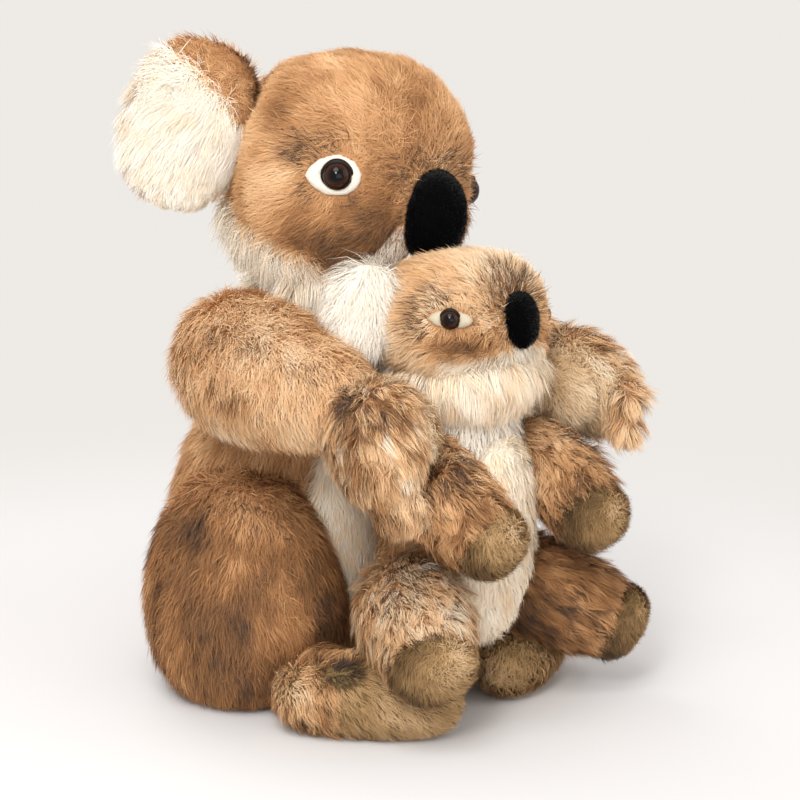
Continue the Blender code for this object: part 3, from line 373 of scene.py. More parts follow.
def draw_corner(mesh, node):
    """Draws the outer end of the mother's felt patch out to a blunt corner."""
    if not node.startswith("mother_patch"):
        return
    spots, _, _ = mesh_arrays(mesh)
    middle = spots.mean(axis=0)
    axis = eye_lie(node.replace("patch", "eye"), node.replace("patch", "washer"))[1]
    outer = np.cross(axis, UP) * (-1.0 if node.endswith("_r") else 1.0)
    outer /= np.linalg.norm(outer)
    outer = outer if outer[1] > 0 else -outer
    rise = np.cross(outer, axis)
    along, high = (spots - middle) @ outer, (spots - middle) @ rise
    near = np.clip(1.0 - np.abs(high) / np.abs(high).max(), 0.0, 1.0)
    reach = along.max()
    pull = np.clip(along / reach, 0.0, 1.0) ** 1.5 * (0.25 + 0.75 * near)
    move_to(mesh, spots + (outer * CORNER_OUT - axis * CORNER_BACK)[None, :] * pull[:, None])


def lift_off_floor(mesh):
    spots, _, _ = mesh_arrays(mesh)
    spots[:, 2] = np.maximum(spots[:, 2], 0.0)
    move_to(mesh, spots)


# Fields

def unit(rows):
    return rows / np.maximum(np.linalg.norm(rows, axis=1, keepdims=True), 1e-9)


def noise(spots, scale, seed):
    """Smooth value noise from -1 to 1."""
    table = np.random.default_rng(seed).uniform(-1.0, 1.0, (32, 32, 32))
    place = spots * scale + 100.0
    base = np.floor(place).astype(int)
    part = place - base
    part = part * part * (3.0 - 2.0 * part)
    total = np.zeros(len(spots))
    for dx in (0, 1):
        for dy in (0, 1):
            for dz in (0, 1):
                weight = (
                    (part[:, 0] if dx else 1 - part[:, 0])
                    * (part[:, 1] if dy else 1 - part[:, 1])
                    * (part[:, 2] if dz else 1 - part[:, 2])
                )
                x, y, z = ((base + (dx, dy, dz)) % 32).T
                total += weight * table[x, y, z]
    return total


def smoothstep(low, high, value):
    part = np.clip((value - low) / (high - low), 0.0, 1.0)
    return part * part * (3.0 - 2.0 * part)


def toward(value, goal, weight):
    """A value drawn to a goal by a weight from 0 to 1."""
    return value * (1 - weight) + goal * weight


def middle_of(node):
    low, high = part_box(node)
    return np.array((low + high) / 2)


def nearest_to(tree, spots):
    """Distance to a tree's surface and the nearest point on it, for each spot."""
    found = [tree.find_nearest(Vector(spot)) for spot in spots]
    return np.array([hit[3] for hit in found]), np.array([tuple(hit[0]) for hit in found])


# Pile

TREES = {}


def tree_of(node):
    if node not in TREES:
        spots, corners = node_arrays(node)
        TREES[node] = BVHTree.FromPolygons(spots.tolist(), corners.tolist())
    return TREES[node]


def others_tree(node):
    """One search tree of every solid but a node, for what covers it."""
    spots, corners, start = [], [], 0
    for name in sorted(frame["nodes"]):
        if name == node or "_washer_" in name:
            continue
        more, faces = node_arrays(name)
        spots.append(more)
        corners.append(faces + start)
        start += len(more)
    return BVHTree.FromPolygons(np.vstack(spots).tolist(), np.vstack(corners).tolist())


def sow(mesh, count, rng):
    """Evenly scattered roots on a mesh, with the smooth normal at each."""
    spots, normals, corners = mesh_arrays(mesh)
    a, b, c = (spots[corners[:, k]] for k in range(3))
    area = np.linalg.norm(np.cross(b - a, c - a), axis=1) / 2
    total = area.sum()
    number = int(total * 1e4 * count)
    picked = rng.choice(len(corners), number, p=area / total)
    first = np.sqrt(rng.random(number))
    second = rng.random(number)
    shares = np.stack((1 - first, first * (1 - second), first * second), axis=1)[:, :, None]
    chosen = corners[picked]
    root = (spots[chosen] * shares).sum(axis=1)
    normal = unit((normals[chosen] * shares).sum(axis=1))
    return root, normal


def room_over(roots, normals, tree, reach):
    """How far each root can rise before it meets what covers it."""
    room = np.full(len(roots), reach)
    for index in range(len(roots)):
        start = Vector(roots[index] - normals[index] * 0.0005)
        hit = tree.ray_cast(start, Vector(normals[index]), reach)
        if hit[0] is not None:
            room[index] = hit[3]
    return room


def clump(roots, tips, middles, size, pull, rng):
    """Draws the tips of neighbouring ribbons together, as pile fabric tufts."""
    if pull <= 0.0 or len(roots) < 50:
        return tips, middles, np.zeros(len(roots))
    number = max(8, int(len(roots) * size))
    heads = rng.choice(len(roots), number, replace=False)
    tree = KDTree(number)
    for place, head in enumerate(heads):
        tree.insert(Vector(roots[head]), place)
    tree.balance()
    owner = np.array([heads[tree.find(Vector(root))[1]] for root in roots])
    strength = pull * (0.5 + rng.random(len(roots)))[:, None]
    tips = tips + (tips[owner] - tips) * np.clip(strength, 0, 0.9)
    middles = middles + (middles[owner] - middles) * np.clip(strength * 0.35, 0, 0.6)
    shade = rng.normal(0.0, 1.0, len(roots))[owner]
    return tips, middles, shade


def ribbons(name, roots, normals, middles, tips, width, tint, rng, material):
    """Builds the ribbons: a quad from root to middle and a triangle to the tip."""
    along = unit(middles - roots)
    flat = unit(np.cross(along, normals))
    roll = rng.normal(0.0, 0.45, len(roots)).clip(-1.1, 1.1)[:, None]
    side = flat * np.cos(roll) + np.cross(along, flat) * np.sin(roll)
    face = np.cross(side, along)
    side = np.where((face * normals).sum(axis=1, keepdims=True) < 0.0, -side, side)
    face = np.cross(side, along)
    lie = unit(normals * 0.65 + face * 0.35 + 0.08 * rng.standard_normal(normals.shape))
    half = (width * 0.5)[:, None]
    edge, waist = side * half, side * half * 0.85
    spots = np.stack((roots - edge, roots + edge, middles + waist, middles - waist, tips), axis=1)
    spots[:, :, 2] = np.maximum(spots[:, :, 2], FLOOR_CLEARANCE)
    count = len(roots)
    base = np.arange(count) * 5
    quads = np.stack((base, base + 1, base + 2, base + 3), axis=1)
    points = np.stack((base + 3, base + 2, base + 4), axis=1)
    mesh = bpy.data.meshes.new(name)
    mesh.vertices.add(count * 5)
    mesh.vertices.foreach_set("co", spots.astype(np.float32).ravel())
    mesh.loops.add(count * 7)
    loops = np.concatenate((quads, points), axis=1)
    mesh.loops.foreach_set("vertex_index", loops.astype(np.int32).ravel())
    mesh.polygons.add(count * 2)
    starts = np.stack((np.arange(count) * 7, np.arange(count) * 7 + 4), axis=1)
    mesh.polygons.foreach_set("loop_start", starts.astype(np.int32).ravel())
    mesh.update(calc_edges=True)
    mesh.shade_smooth()
    chart = mesh.uv_layers.new(name=CHART)
    tint = np.clip(tint, CHART_EDGE, 1.0 - CHART_EDGE)
    left, right = tint - CHART_HALF_WIDTH, tint + CHART_HALF_WIDTH
    bottom, half_way, top = (np.full(count, v) for v in (CHART_EDGE, 0.5, 1.0 - CHART_EDGE))
    quad_uv = (left, bottom, right, bottom, right, half_way, left, half_way)
    uv = np.stack(quad_uv + (left, half_way, right, half_way, tint, top), axis=1)
    chart.data.foreach_set("uv", uv.astype(np.float32).ravel())
    mesh.normals_split_custom_set_from_vertices(np.repeat(lie, 5, axis=0))
    mesh.materials.append(material)
    return link(name, mesh)


def grow(skin, node, style, seed):
    """Grows one piece's pile and hangs it on the piece's skin."""
    rng = np.random.default_rng(seed)
    count = style["density"] * DENSITY
    roots, normals = sow(skin.data, count, rng)
    room = room_over(roots, normals, others_tree(node), COVER_REACH)
    keep = room > style["bare"]
    keep &= ~((normals[:, 2] < -0.6) & (roots[:, 2] < 0.004))
    if style["where"] is not None:
        keep &= style["where"](roots, normals, rng)
    roots, normals, room = roots[keep], normals[keep], room[keep]
    uneven = 1.0 + 0.22 * rng.standard_normal(len(roots)).clip(-2, 2)
    length = np.full(len(roots), style["length"]) * uneven
    length *= 1.0 + 0.15 * noise(roots, 60.0, seed + 1)
    flow = style["flow"](roots, normals)
    tint = np.full(len(roots), style["tint"])
    tint += style["mottle"] * noise(roots * style["grain"], 34.0, seed + 2)
    tint += style["mottle"] * 0.6 * noise(roots * style["grain"], 95.0, seed + 3)
    loose = rng.random(len(roots)) < style["loose"]
    lift = style["lift"] + 0.20 * loose
    for change in style["changes"]:
        flow, length, tint, lift = change(roots, normals, flow, length, tint, lift, rng)
    flow = flow + style["stray"] * rng.standard_normal(flow.shape)
    for scale, share in ((45.0, 1.0), (150.0, 0.8)):
        waves = np.stack([noise(roots, scale, seed + 5 + k) for k in range(3)], axis=1)
        flow = flow + style["swirl"] * share * waves
    flow = unit(flow - normals * (flow * normals).sum(axis=1, keepdims=True))
    length *= np.clip(room / FULL_ROOM, 0.25, 1.0)
    first = unit(normals * lift[:, None] + flow * (1.0 - lift)[:, None])
    second = unit(first * 0.45 + flow * 0.55 - UP * style["sag"])
    middles = roots + first * (length * 0.45)[:, None]
    tips = middles + second * (length * 0.55)[:, None]
    tips, middles, shade = clump(roots, tips, middles, style["tuft"], style["pull"], rng)
    tint = tint + shade * style["tuft_shade"] + rng.normal(0.0, style["speck"], len(roots))
    sunk = roots - normals * ROOT_DEPTH
    width = style["width"] * WIDTH_GAIN * (0.75 + 0.5 * rng.random(len(roots)))
    name = node.replace("_", f"_{style['called']}_", 1)
    made = ribbons(name, sunk, normals, middles, tips, width, tint, rng, style["material"])
    made.parent = skin
    return made


def slot_of(node):
    for part in frame["record"]["subparts"]:
        if part["node"] == node:
            return part["material_slot"]
    return None


# Combing directions

def combed(direction):
    way = np.array(direction, float)
    return lambda roots, normals: np.tile(way, (len(roots), 1))


def away_from(centre, drift=(0.0, 0.0, 0.0)):
    middle = np.array(centre, float)
    extra = np.array(drift, float)
    return lambda roots, normals: unit(roots - middle) + extra


def skirting(nodes, reach, push, short):
    """Turns the pile away from a patch or nose, and shortens it beside them."""
    trees = [tree_of(node) for node in nodes]

    def change(roots, normals, flow, length, tint, lift, rng):
        for tree in trees:
            far, spot = nearest_to(tree, roots)
            weight = np.exp(-far / reach)[:, None]
            flow = flow * (1 - weight) + unit(roots - spot) * weight * push
            length = length * (1.0 - (1.0 - short) * np.exp(-far / (reach * 0.7)))
        return flow, length, tint, lift

    return change


def on_near_side(roots, mirror):
    """A copy of the roots, where asked with those of the far half mirrored to the near one."""
    spots = roots.copy()
    if mirror:
        spots[:, 0] = -np.abs(spots[:, 0])
    return spots


def all_but(where):
    """Chooses the roots that another choice leaves."""
    return lambda roots, normals, rng: ~where(roots, normals, rng)


def blotch(centre, reach, tint_to, share=1.0, amount=1.0, squash=(1.0, 1.0, 1.0), mirror=True):
    """Draws the tint to another one round a place, for a share of the ribbons."""
    middle = np.array(centre, float)
    scale = np.array(squash, float)

    def change(roots, normals, flow, length, tint, lift, rng):
        far = np.linalg.norm((on_near_side(roots, mirror) - middle) * scale, axis=1)
        weight = np.exp(-((far / reach) ** 2)) * amount * (rng.random(len(roots)) < share)
        return flow, length, toward(tint, tint_to, weight), lift

    return change


def near_node(node, reach, tint_to, share):
    """Draws the tint to another one close beside a node."""
    tree = tree_of(node)

    def change(roots, normals, flow, length, tint, lift, rng):
        far, _ = nearest_to(tree, roots)
        weight = np.exp(-((far / reach) ** 2)) * (rng.random(len(roots)) < share)
        return flow, length, toward(tint, tint_to, weight), lift

    return change


# Pieces

SHORT_PILE = pile_material("short_pile", CARAMEL, 0.82)
SHAGGY_PILE = pile_material("shaggy_pile", CARAMEL, 0.58)
WHITE_PILE = pile_material("white_pile", CARAMEL, 0.95)
OLIVE_PILE = pile_material("olive_pile", OLIVE, 0.70)
VELVET_PILE = pile_material("velvet_pile", VELVET, 0.60)

SKINS = {
    "caramel_plush": skin_material("caramel_base", (146, 102, 68), (200, 150, 104), 700.0, 0.6),
    "white_plush": skin_material("white_base", (236, 228, 214), (250, 245, 236), 700.0),
    "olive_plush": skin_material("olive_base", (100, 80, 52), (140, 116, 76), 800.0),
    "white_felt": skin_material("white_felt", (214, 208, 195), (230, 224, 213), 1500.0),
    "black_velvet": skin_material("black_velvet", (5, 5, 6), (10, 10, 11), 1800.0),
}
SPECIAL_SKINS = {
    "mother_ear": ear_skin_material("ear_base", (244, 237, 225), (150, 106, 70)),
    "mother_palm": skin_material("palm_base", (172, 142, 100), (204, 174, 128), 800.0),
    "young_patch": skin_material("young_felt", (182, 170, 148), (204, 193, 170), 1500.0),
}
LID = moulded_material("moulded_lid", 700.0, (16, 9, 7), (26, 15, 11), (0.45, 0.6), gloss=0.25)
WASHER = moulded_material("moulded_washer", 500.0, (208, 206, 200), (222, 220, 214), (0.4, 0.55))

for velvet in (VELVET_PILE, SKINS["black_velvet"]):
    sockets = velvet.node_tree.nodes["Principled BSDF"].inputs
    for socket, value in (("Specular IOR Level", 0.03), ("Sheen Weight", 0.14), ("Sheen Roughness", 0.35)):
        sockets[socket].default_value = value

HEAD = np.array((0.0, -0.052, 0.326))
YOUNG_HEAD = middle_of("young_head")
NOSE = middle_of("mother_nose")
YOUNG_NOSE = middle_of("young_nose")


def ear_wedge(node, side):
    """The brown fold over the upper inner corner of an ear, darkened next to the head as painted shade."""
    low, high = (np.array(corner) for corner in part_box(node))
    out_end = low[0] if side > 0 else high[0]
    in_end = high[0] if side > 0 else low[0]

    def change(roots, normals, flow, length, tint, lift, rng):
        out = (roots[:, 0] - in_end) / (out_end - in_end)
        rise = (roots[:, 2] - low[2]) / (high[2] - low[2])
        edge = np.interp(rise, (0.30, 0.45, 0.70, 0.88, 0.97, 1.00), (0.02, 0.18, 0.38, 0.54, 0.66, 0.86))
        edge = edge + 0.05 * noise(roots, 120.0, 77)
        length = length * np.interp(rise, (0.0, 0.2, 0.45, 0.8), (0.36, 0.48, 0.92, 1.0))
        length = length * (1 - 0.45 * smoothstep(0.70, 0.92, rise) * smoothstep(0.60, 0.35, out))
        tip = smoothstep(0.80, 0.97, rise) * np.exp(-(((out - 0.66) / 0.15) ** 2))
        length = length * (1 + 0.25 * tip)
        weight = smoothstep(-0.03, 0.03, edge - out) * smoothstep(0.28, 0.36, rise)
        # painted shade: the brown gets darker in the fold next to the head
        shadow = np.exp(-((out / 0.14) ** 2)) * smoothstep(0.35, 0.5, rise) * weight
        brown = 0.40 + 0.08 * noise(roots, 50.0, 78) - 0.24 * shadow
        tint = toward(tint, brown, weight)
        return flow, length * (1 - 0.48 * weight), tint, lift * (1 - 0.25 * weight)

    return change


def rim_of(roots, normals):
    """How far each root has turned to the outer or lower rim of an ear."""
    outer = (normals[:, 0] * roots[:, 0] > 0) | (normals[:, 2] < -0.3)
    return np.where(outer, np.hypot(normals[:, 0], normals[:, 2]), 0.0)


def ear_front(roots, normals, rng):
    """The front of an ear and its outer and lower rim."""
    ragged = normals[:, 1] + 0.08 * rng.standard_normal(len(roots))
    return ragged < 0.12 + 0.98 * rim_of(roots, normals)


def pale_rim(roots, normals, flow, length, tint, lift, rng):
    """The pile on the back of an ear gets shorter and paler toward its outer and lower rim."""
    near = smoothstep(0.40, 0.80, rim_of(roots, normals))
    return flow, length * (1 - 0.5 * near), toward(tint, 0.95, near), lift


def ear_styles(node, side):
    """Long white locks on the front of an ear, and short caramel pile on its back."""
    low, high = (np.array(corner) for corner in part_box(node))
    inner = high[0] if side > 0 else low[0]
    base = np.array((inner, (low[1] + high[1]) / 2, low[2] + 0.55 * (high[2] - low[2])))
    comb = away_from(base, (-0.1 * side, 0.0, -0.5))
    return [
        style(
            WHITE_PILE, density=150.0, length=0.0185, width=0.00033, tint=0.925, mottle=0.03, speck=0.012,
            pull=0.45, tuft=0.014, swirl=0.42, lift=0.36, flow=comb, where=ear_front,
            changes=(ear_wedge(node, side),)),
        style(
            SHORT_PILE, called="ear_back_pile", slot="caramel_plush", density=105.0, length=0.0105, tint=0.46,
            mottle=0.12, lift=0.33, flow=comb, where=all_but(ear_front), changes=(pale_rim,)),
    ]


def style(material, **values):
    made = {
        "material": material, "called": "pile", "slot": None, "density": 76.0, "length": 0.015,
        "width": 0.00045, "tint": 0.5, "mottle": 0.10, "grain": np.ones(3), "speck": 0.032, "lift": 0.45,
        "stray": 0.34, "swirl": 0.26, "sag": 0.10, "tuft": 0.05, "tuft_shade": 0.04, "pull": 0.22,
        "bare": 0.0022, "loose": 0.07, "where": None, "changes": (), "flow": combed((0.0, 0.0, -1.0)),
    }
    made.update(values)
    return made


def neck_fur(roots, normals, flow, length, tint, lift, rng):
    """White fur from the collar, low on the back and sides of the head up to the ears."""
    side = np.abs(roots[:, 0])
    border = 0.2935 + 0.42 * (roots[:, 1] + 0.052) + 0.10 * (side - 0.05)
    border = border + 0.005 * noise(roots, 90.0, 41)
    weight = smoothstep(-0.004, 0.004, border - roots[:, 2]) * smoothstep(-0.092, -0.076, roots[:, 1])
    weight = weight * (1 - smoothstep(-0.004, 0.014, roots[:, 1] + 0.008 * noise(roots, 70.0, 42)))
    outward = normals * (0.5, 0.5, 0.0) - UP * 0.9
    flow = toward(flow, outward, weight[:, None])
    trim = np.exp(-(((border - roots[:, 2] + 0.006) / 0.006) ** 2)) * (1 - weight)
    length = length * (1 + 0.7 * weight) * (1 - 0.35 * trim)
    lift = lift + 0.14 * weight
    return flow, length, toward(tint, 0.92, weight), lift


def muzzle_fur(roots, normals, flow, length, tint, lift, rng):
    """Short white plush under the nose, with a dark seam where the cheek meets it."""
    border = 0.2955 + 1.10 * (0.026 - np.abs(roots[:, 0])) + 0.0015 * noise(roots, 200.0, 44)
    inside = border - roots[:, 2]
    front = smoothstep(0.088, 0.096, -roots[:, 1]) * smoothstep(0.306, 0.300, roots[:, 2])
    weight = smoothstep(-0.0010, 0.0010, inside) * front
    seam = np.exp(-(((inside + 0.0028) / 0.0020) ** 2)) * front * (rng.random(len(roots)) < 0.9)
    trim = np.exp(-(((inside + 0.004) / 0.006) ** 2)) * front
    tint = toward(toward(tint, 0.95, weight), 0.03, seam)
    return flow, length * (1 - 0.45 * weight) * (1 - 0.5 * trim), tint, lift


def dark_hairs(spots, reach, share, tint_to=0.03, mirror=True, squash=(1.0, 1.0, 1.0)):
    """Longer charcoal hairs that stand proud of the rest, scattered round some places."""
    middles = np.array(spots, float)
    scale = np.array(squash, float)

    def change(roots, normals, flow, length, tint, lift, rng):
        places = on_near_side(roots, mirror)
        far = np.linalg.norm((places[:, None, :] - middles[None, :, :]) * scale, axis=2).min(axis=1)
        weight = np.exp(-((far / reach) ** 2))
        chosen = rng.random(len(roots)) < share * np.clip(weight * 1.4, 0.0, 1.0)
        tint = np.where(chosen, tint_to + 0.06 * rng.random(len(roots)), tint)
        return flow, np.where(chosen, length * 1.25, length), tint, np.where(chosen, lift + 0.10, lift)

    return change


def parted(scale, share, deep, seed):
    """Dark partings that wander over shaggy pile, with the fur leaning away on both sides."""
    def change(roots, normals, flow, length, tint, lift, rng):
        field = noise(roots, scale, seed)
        step = 0.0015
        ahead = [noise(roots + step * way, scale, seed) for way in np.eye(3)]
        slope = np.stack([(other - field) / step for other in ahead], axis=1)
        line = np.exp(-((field / 0.16) ** 2)) * smoothstep(-0.35, 0.15, noise(roots, scale * 0.6, seed + 1))
        chosen = rng.random(len(roots)) < share * np.clip(line * 1.5, 0.0, 1.0)
        lean = unit(slope) * np.sign(field)[:, None] * (0.9 * line)[:, None]
        tint = np.where(chosen, tint - deep * (0.6 + 0.6 * rng.random(len(roots))), tint)
        return flow + lean, length, tint, lift

    return change


def on_face(roots, normals, rng):
    return roots[:, 1] + 0.003 * rng.standard_normal(len(roots)) < -0.035


def crown_changes():
    """The partings and broad shades that the face and the nape share."""
    return (
        parted(36.0, 0.34, 0.17, 71),
        blotch(HEAD + (0.0, -0.010, 0.075), 0.060, 0.39, amount=0.55),
        blotch((-0.062, -0.030, 0.345), 0.026, 0.62, amount=0.7),
    )


def head_changes():
    shades = (  # place, reach, tint and amount
        ((-0.054, -0.090, 0.294), 0.028, 0.12, 0.95),
        ((-0.061, -0.080, 0.300), 0.014, 0.22, 0.8),
        ((-0.036, -0.105, 0.288), 0.016, 0.16, 0.8),
        ((-0.056, -0.092, 0.311), 0.009, 0.60, 0.6),
        ((-0.030, -0.105, 0.350), 0.022, 0.38, 0.7),
        ((-0.045, -0.085, 0.365), 0.016, 0.56, 0.6),
    )
    return (
        *crown_changes(),
        *(blotch(place, reach, tint, amount=amount) for place, reach, tint, amount in shades),
        dark_hairs(((-0.061, -0.078, 0.343), (-0.056, -0.087, 0.340)), 0.0080, 0.34),
        dark_hairs(((-0.047, -0.094, 0.348),), 0.006, 0.26),
        dark_hairs(((-0.063, -0.082, 0.322),), 0.004, 0.40),
        near_node("mother_nose", 0.0040, 0.08, 0.45),
        dark_hairs(((-0.024, -0.119, 0.330), (-0.012, -0.122, 0.336)), 0.007, 0.30),
        dark_hairs(((-0.029, -0.116, 0.298), (-0.032, -0.113, 0.305)), 0.007, 0.32),
        neck_fur,
        muzzle_fur,
        skirting(("mother_patch_r", "mother_patch_l"), 0.008, 1.6, 0.22),
        skirting(("mother_nose",), 0.009, 1.3, 0.45),
    )


def young_head_changes():
    brow = ((-0.048, -0.162, 0.245), (-0.047, -0.163, 0.255), (-0.041, -0.172, 0.261))
    wide = (0.7, 0.7, 1.5)
    return (
        blotch(YOUNG_HEAD + (-0.010, -0.020, 0.035), 0.030, 0.76, amount=0.8),
        dark_hairs((YOUNG_NOSE + (-0.004, 0.008, 0.020),), 0.011, 0.50, tint_to=0.04),
        dark_hairs((YOUNG_NOSE + (-0.014, 0.006, 0.008),), 0.007, 0.30, tint_to=0.08),
        blotch((-0.031, -0.187, 0.2365), 0.012, 0.08, amount=0.95, squash=wide),
        blotch((-0.041, -0.178, 0.2375), 0.009, 0.14, amount=0.9, squash=wide),
        dark_hairs(brow, 0.007, 0.30, tint_to=0.07),
        near_node("young_nose", 0.0040, 0.05, 0.5),
        snout_fur,
        skirting(("young_patch_r", "young_patch_l"), 0.006, 1.4, 0.34),
        skirting(("young_nose",), 0.007, 1.2, 0.45),
    )


def snout_fur(roots, normals, flow, length, tint, lift, rng):
    """White fur under the young one's nose, where the chin begins."""
    border = 0.238 - 0.30 * np.abs(roots[:, 0]) + 0.003 * noise(roots, 150.0, 43)
    weight = smoothstep(-0.003, 0.003, border - roots[:, 2]) * smoothstep(0.168, 0.180, -roots[:, 1])
    return flow, length, toward(tint, 0.86, weight), lift


def swirled(centre, axis):
    """A comb that turns round a pad's middle, as pile that has been brushed in a ring."""
    middle = np.array(centre, float)
    way = np.array(axis, float)
    way /= np.linalg.norm(way)

    def flow(roots, normals):
        out = unit(roots - middle)
        return np.cross(way, out) * 0.7 + out * 0.6 - UP * 0.2

    return flow


def pad_highlight_and_rim_shade(centre, reach, axis):
    """A painted highlight: a lighter ridge across the middle of an olive pad, with painted shade darkening its
    rim.
    """
    middle = np.array(centre, float)
    way = np.array(axis, float)
    way /= np.linalg.norm(way)

    def change(roots, normals, flow, length, tint, lift, rng):
        off = roots - middle
        along = off @ way
        across = np.linalg.norm(off - along[:, None] * way, axis=1)
        highlight_ridge = np.exp(-((across / (reach * 0.45)) ** 2) - (along / (reach * 1.3)) ** 2)
        rim = smoothstep(reach * 0.9, reach * 1.9, np.linalg.norm(off, axis=1))
        # painted highlight along the ridge, and painted shade toward the rim
        return flow, length, tint + 0.46 * highlight_ridge - 0.24 * rim, lift

    return change


def hollow_and_painted_shade(centre, reach):
    """Short pile in a hollow between two folds, tinted near-black as painted shade."""
    middle = np.array(centre, float)

    def change(roots, normals, flow, length, tint, lift, rng):
        far = np.linalg.norm((roots - middle) * (0.75, 0.75, 1.0), axis=1)
        weight = smoothstep(reach, reach * 0.6, far)
        away = unit(roots - middle) * (0.8 * np.exp(-((far / (reach * 1.6)) ** 2)))[:, None]
        # painted shade: the tint is drawn to black inside the hollow
        return flow + away, length * (1 - 0.3 * weight), tint * (1 - weight), lift - 0.15 * weight

    return change


def heel_share(tag):
    """How far back along a foot each root lies: 0 at the toe and 1 at the heel."""
    low, high = (np.array(corner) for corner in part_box(f"mother_foot_{tag}"))
    toe = np.array(((low[0] + high[0]) / 2, low[1], 0.0))
    heel = np.array((low[0] if tag == "r" else high[0], high[1], 0.0))

    def share(roots):
        way = heel - toe
        return (roots - toe) @ way / (way @ way)

    return share


def foot_styles(tag, side):
    """An olive toe and a caramel heel on one foot."""
    share = heel_share(tag)

    def heel(roots, normals, rng):
        return share(roots) + 0.10 * noise(roots, 60.0, 51) + 0.06 * rng.standard_normal(len(roots)) > 0.56

    comb = combed((0.5 * side, -0.6, -0.4))
    hollow = np.array((-0.097, -0.144, 0.043)) if tag == "r" else np.array((0.084, -0.150, 0.040))
    # painted shade in the hollow between the folds, with shorter pile
    dent_and_shade = hollow_and_painted_shade(hollow, 0.0115)
    pale = blotch(hollow + (0.026 * side, -0.030, -0.008), 0.022, 0.66, amount=0.6, mirror=False)
    # painted shade below the hollow, down by the floor
    dark = blotch(hollow + (-0.012 * side, 0.020, -0.030), 0.010, 0.10, share=0.6, mirror=False)
    return (
        style(
            # the far foot's olive is tinted lighter than the near one's, as painted light that lifts the shade
            # it stands in
            OLIVE_PILE, density=120.0, length=0.0085, width=0.00042, tint=0.45 if side > 0 else 0.60,
            mottle=0.18, flow=comb, where=all_but(heel), changes=(pale, dent_and_shade)),
        style(
            SHAGGY_PILE, called="heel_pile", slot="caramel_plush", density=110.0, length=0.012, tint=0.54,
            mottle=0.16, flow=comb, where=heel, pull=0.5, tuft=0.03,
            changes=(parted(70.0, 0.6, 0.30, 65), dent_and_shade, dark)),
    )


def arm_style():
    dark = (
        (-0.116, -0.060, 0.236), (-0.114, -0.088, 0.233), (-0.121, -0.078, 0.205), (-0.108, -0.126, 0.224),
    )
    return style(
        SHORT_PILE, density=104.0, length=0.0145, width=0.0004, tint=0.62, mottle=0.24,
        grain=np.array((1.0, 0.6, 1.0)), swirl=0.40, flow=combed((0.0, -0.55, -0.75)), lift=0.42, stray=0.42,
        changes=(
            parted(42.0, 0.35, 0.16, 61),
            blotch((-0.115, -0.070, 0.215), 0.045, 0.56, amount=0.5),
            dark_hairs(dark, 0.007, 0.28, tint_to=0.10, squash=(1.0, 0.6, 1.6)),
        ))


def hand_styles(tag, side):
    """Shaggy caramel fur on a hand, with olive fur spreading round the palm."""
    tree = tree_of(f"mother_palm_{tag}")
    spread = 0.003 if side > 0 else 0.013

    def palm_side(roots, normals, rng):
        far, _ = nearest_to(tree, roots)
        inner = normals[:, 0] * side > -0.15
        return (far + 0.003 * rng.standard_normal(len(roots)) < spread) & inner

    if side > 0:
        dark = (
            (-0.106, -0.163, 0.210), (-0.107, -0.168, 0.198), (-0.095, -0.184, 0.204), (-0.107, -0.172, 0.174),
        )
        changes = (
            dark_hairs(dark, 0.0070, 0.75, tint_to=0.04, mirror=False),
            # painted shade at the bottom of the near hand, where it hangs over the haunch
            blotch((-0.092, -0.168, 0.145), 0.016, 0.14, share=0.5, mirror=False),
            blotch((-0.100, -0.182, 0.185), 0.016, 0.60, amount=0.6, mirror=False),
        )
    else:
        dark = ((0.076, -0.204, 0.196), (0.074, -0.206, 0.184))
        changes = (
            blotch((0.070, -0.190, 0.192), 0.016, 0.36, amount=0.7, mirror=False),
            dark_hairs(dark, 0.006, 0.45, tint_to=0.08, mirror=False),
            blotch((0.072, -0.226, 0.176), 0.014, 0.50, amount=0.8, mirror=False),
        )
    return [
        style(
            SHAGGY_PILE, density=132.0, length=0.0145, width=0.0004, tint=0.68, mottle=0.18,
            flow=combed((0.0, -0.35, -1.0)), pull=0.62, tuft=0.025, tuft_shade=0.07, where=all_but(palm_side),
            changes=(parted(70.0, 0.85, 0.44, 63), *changes)),
        style(
            OLIVE_PILE, called="palm_rim_pile", slot="olive_plush", density=130.0, length=0.011, tint=0.80,
            mottle=0.14, flow=combed((0.1, -0.4, -0.6)), where=palm_side),
    ]


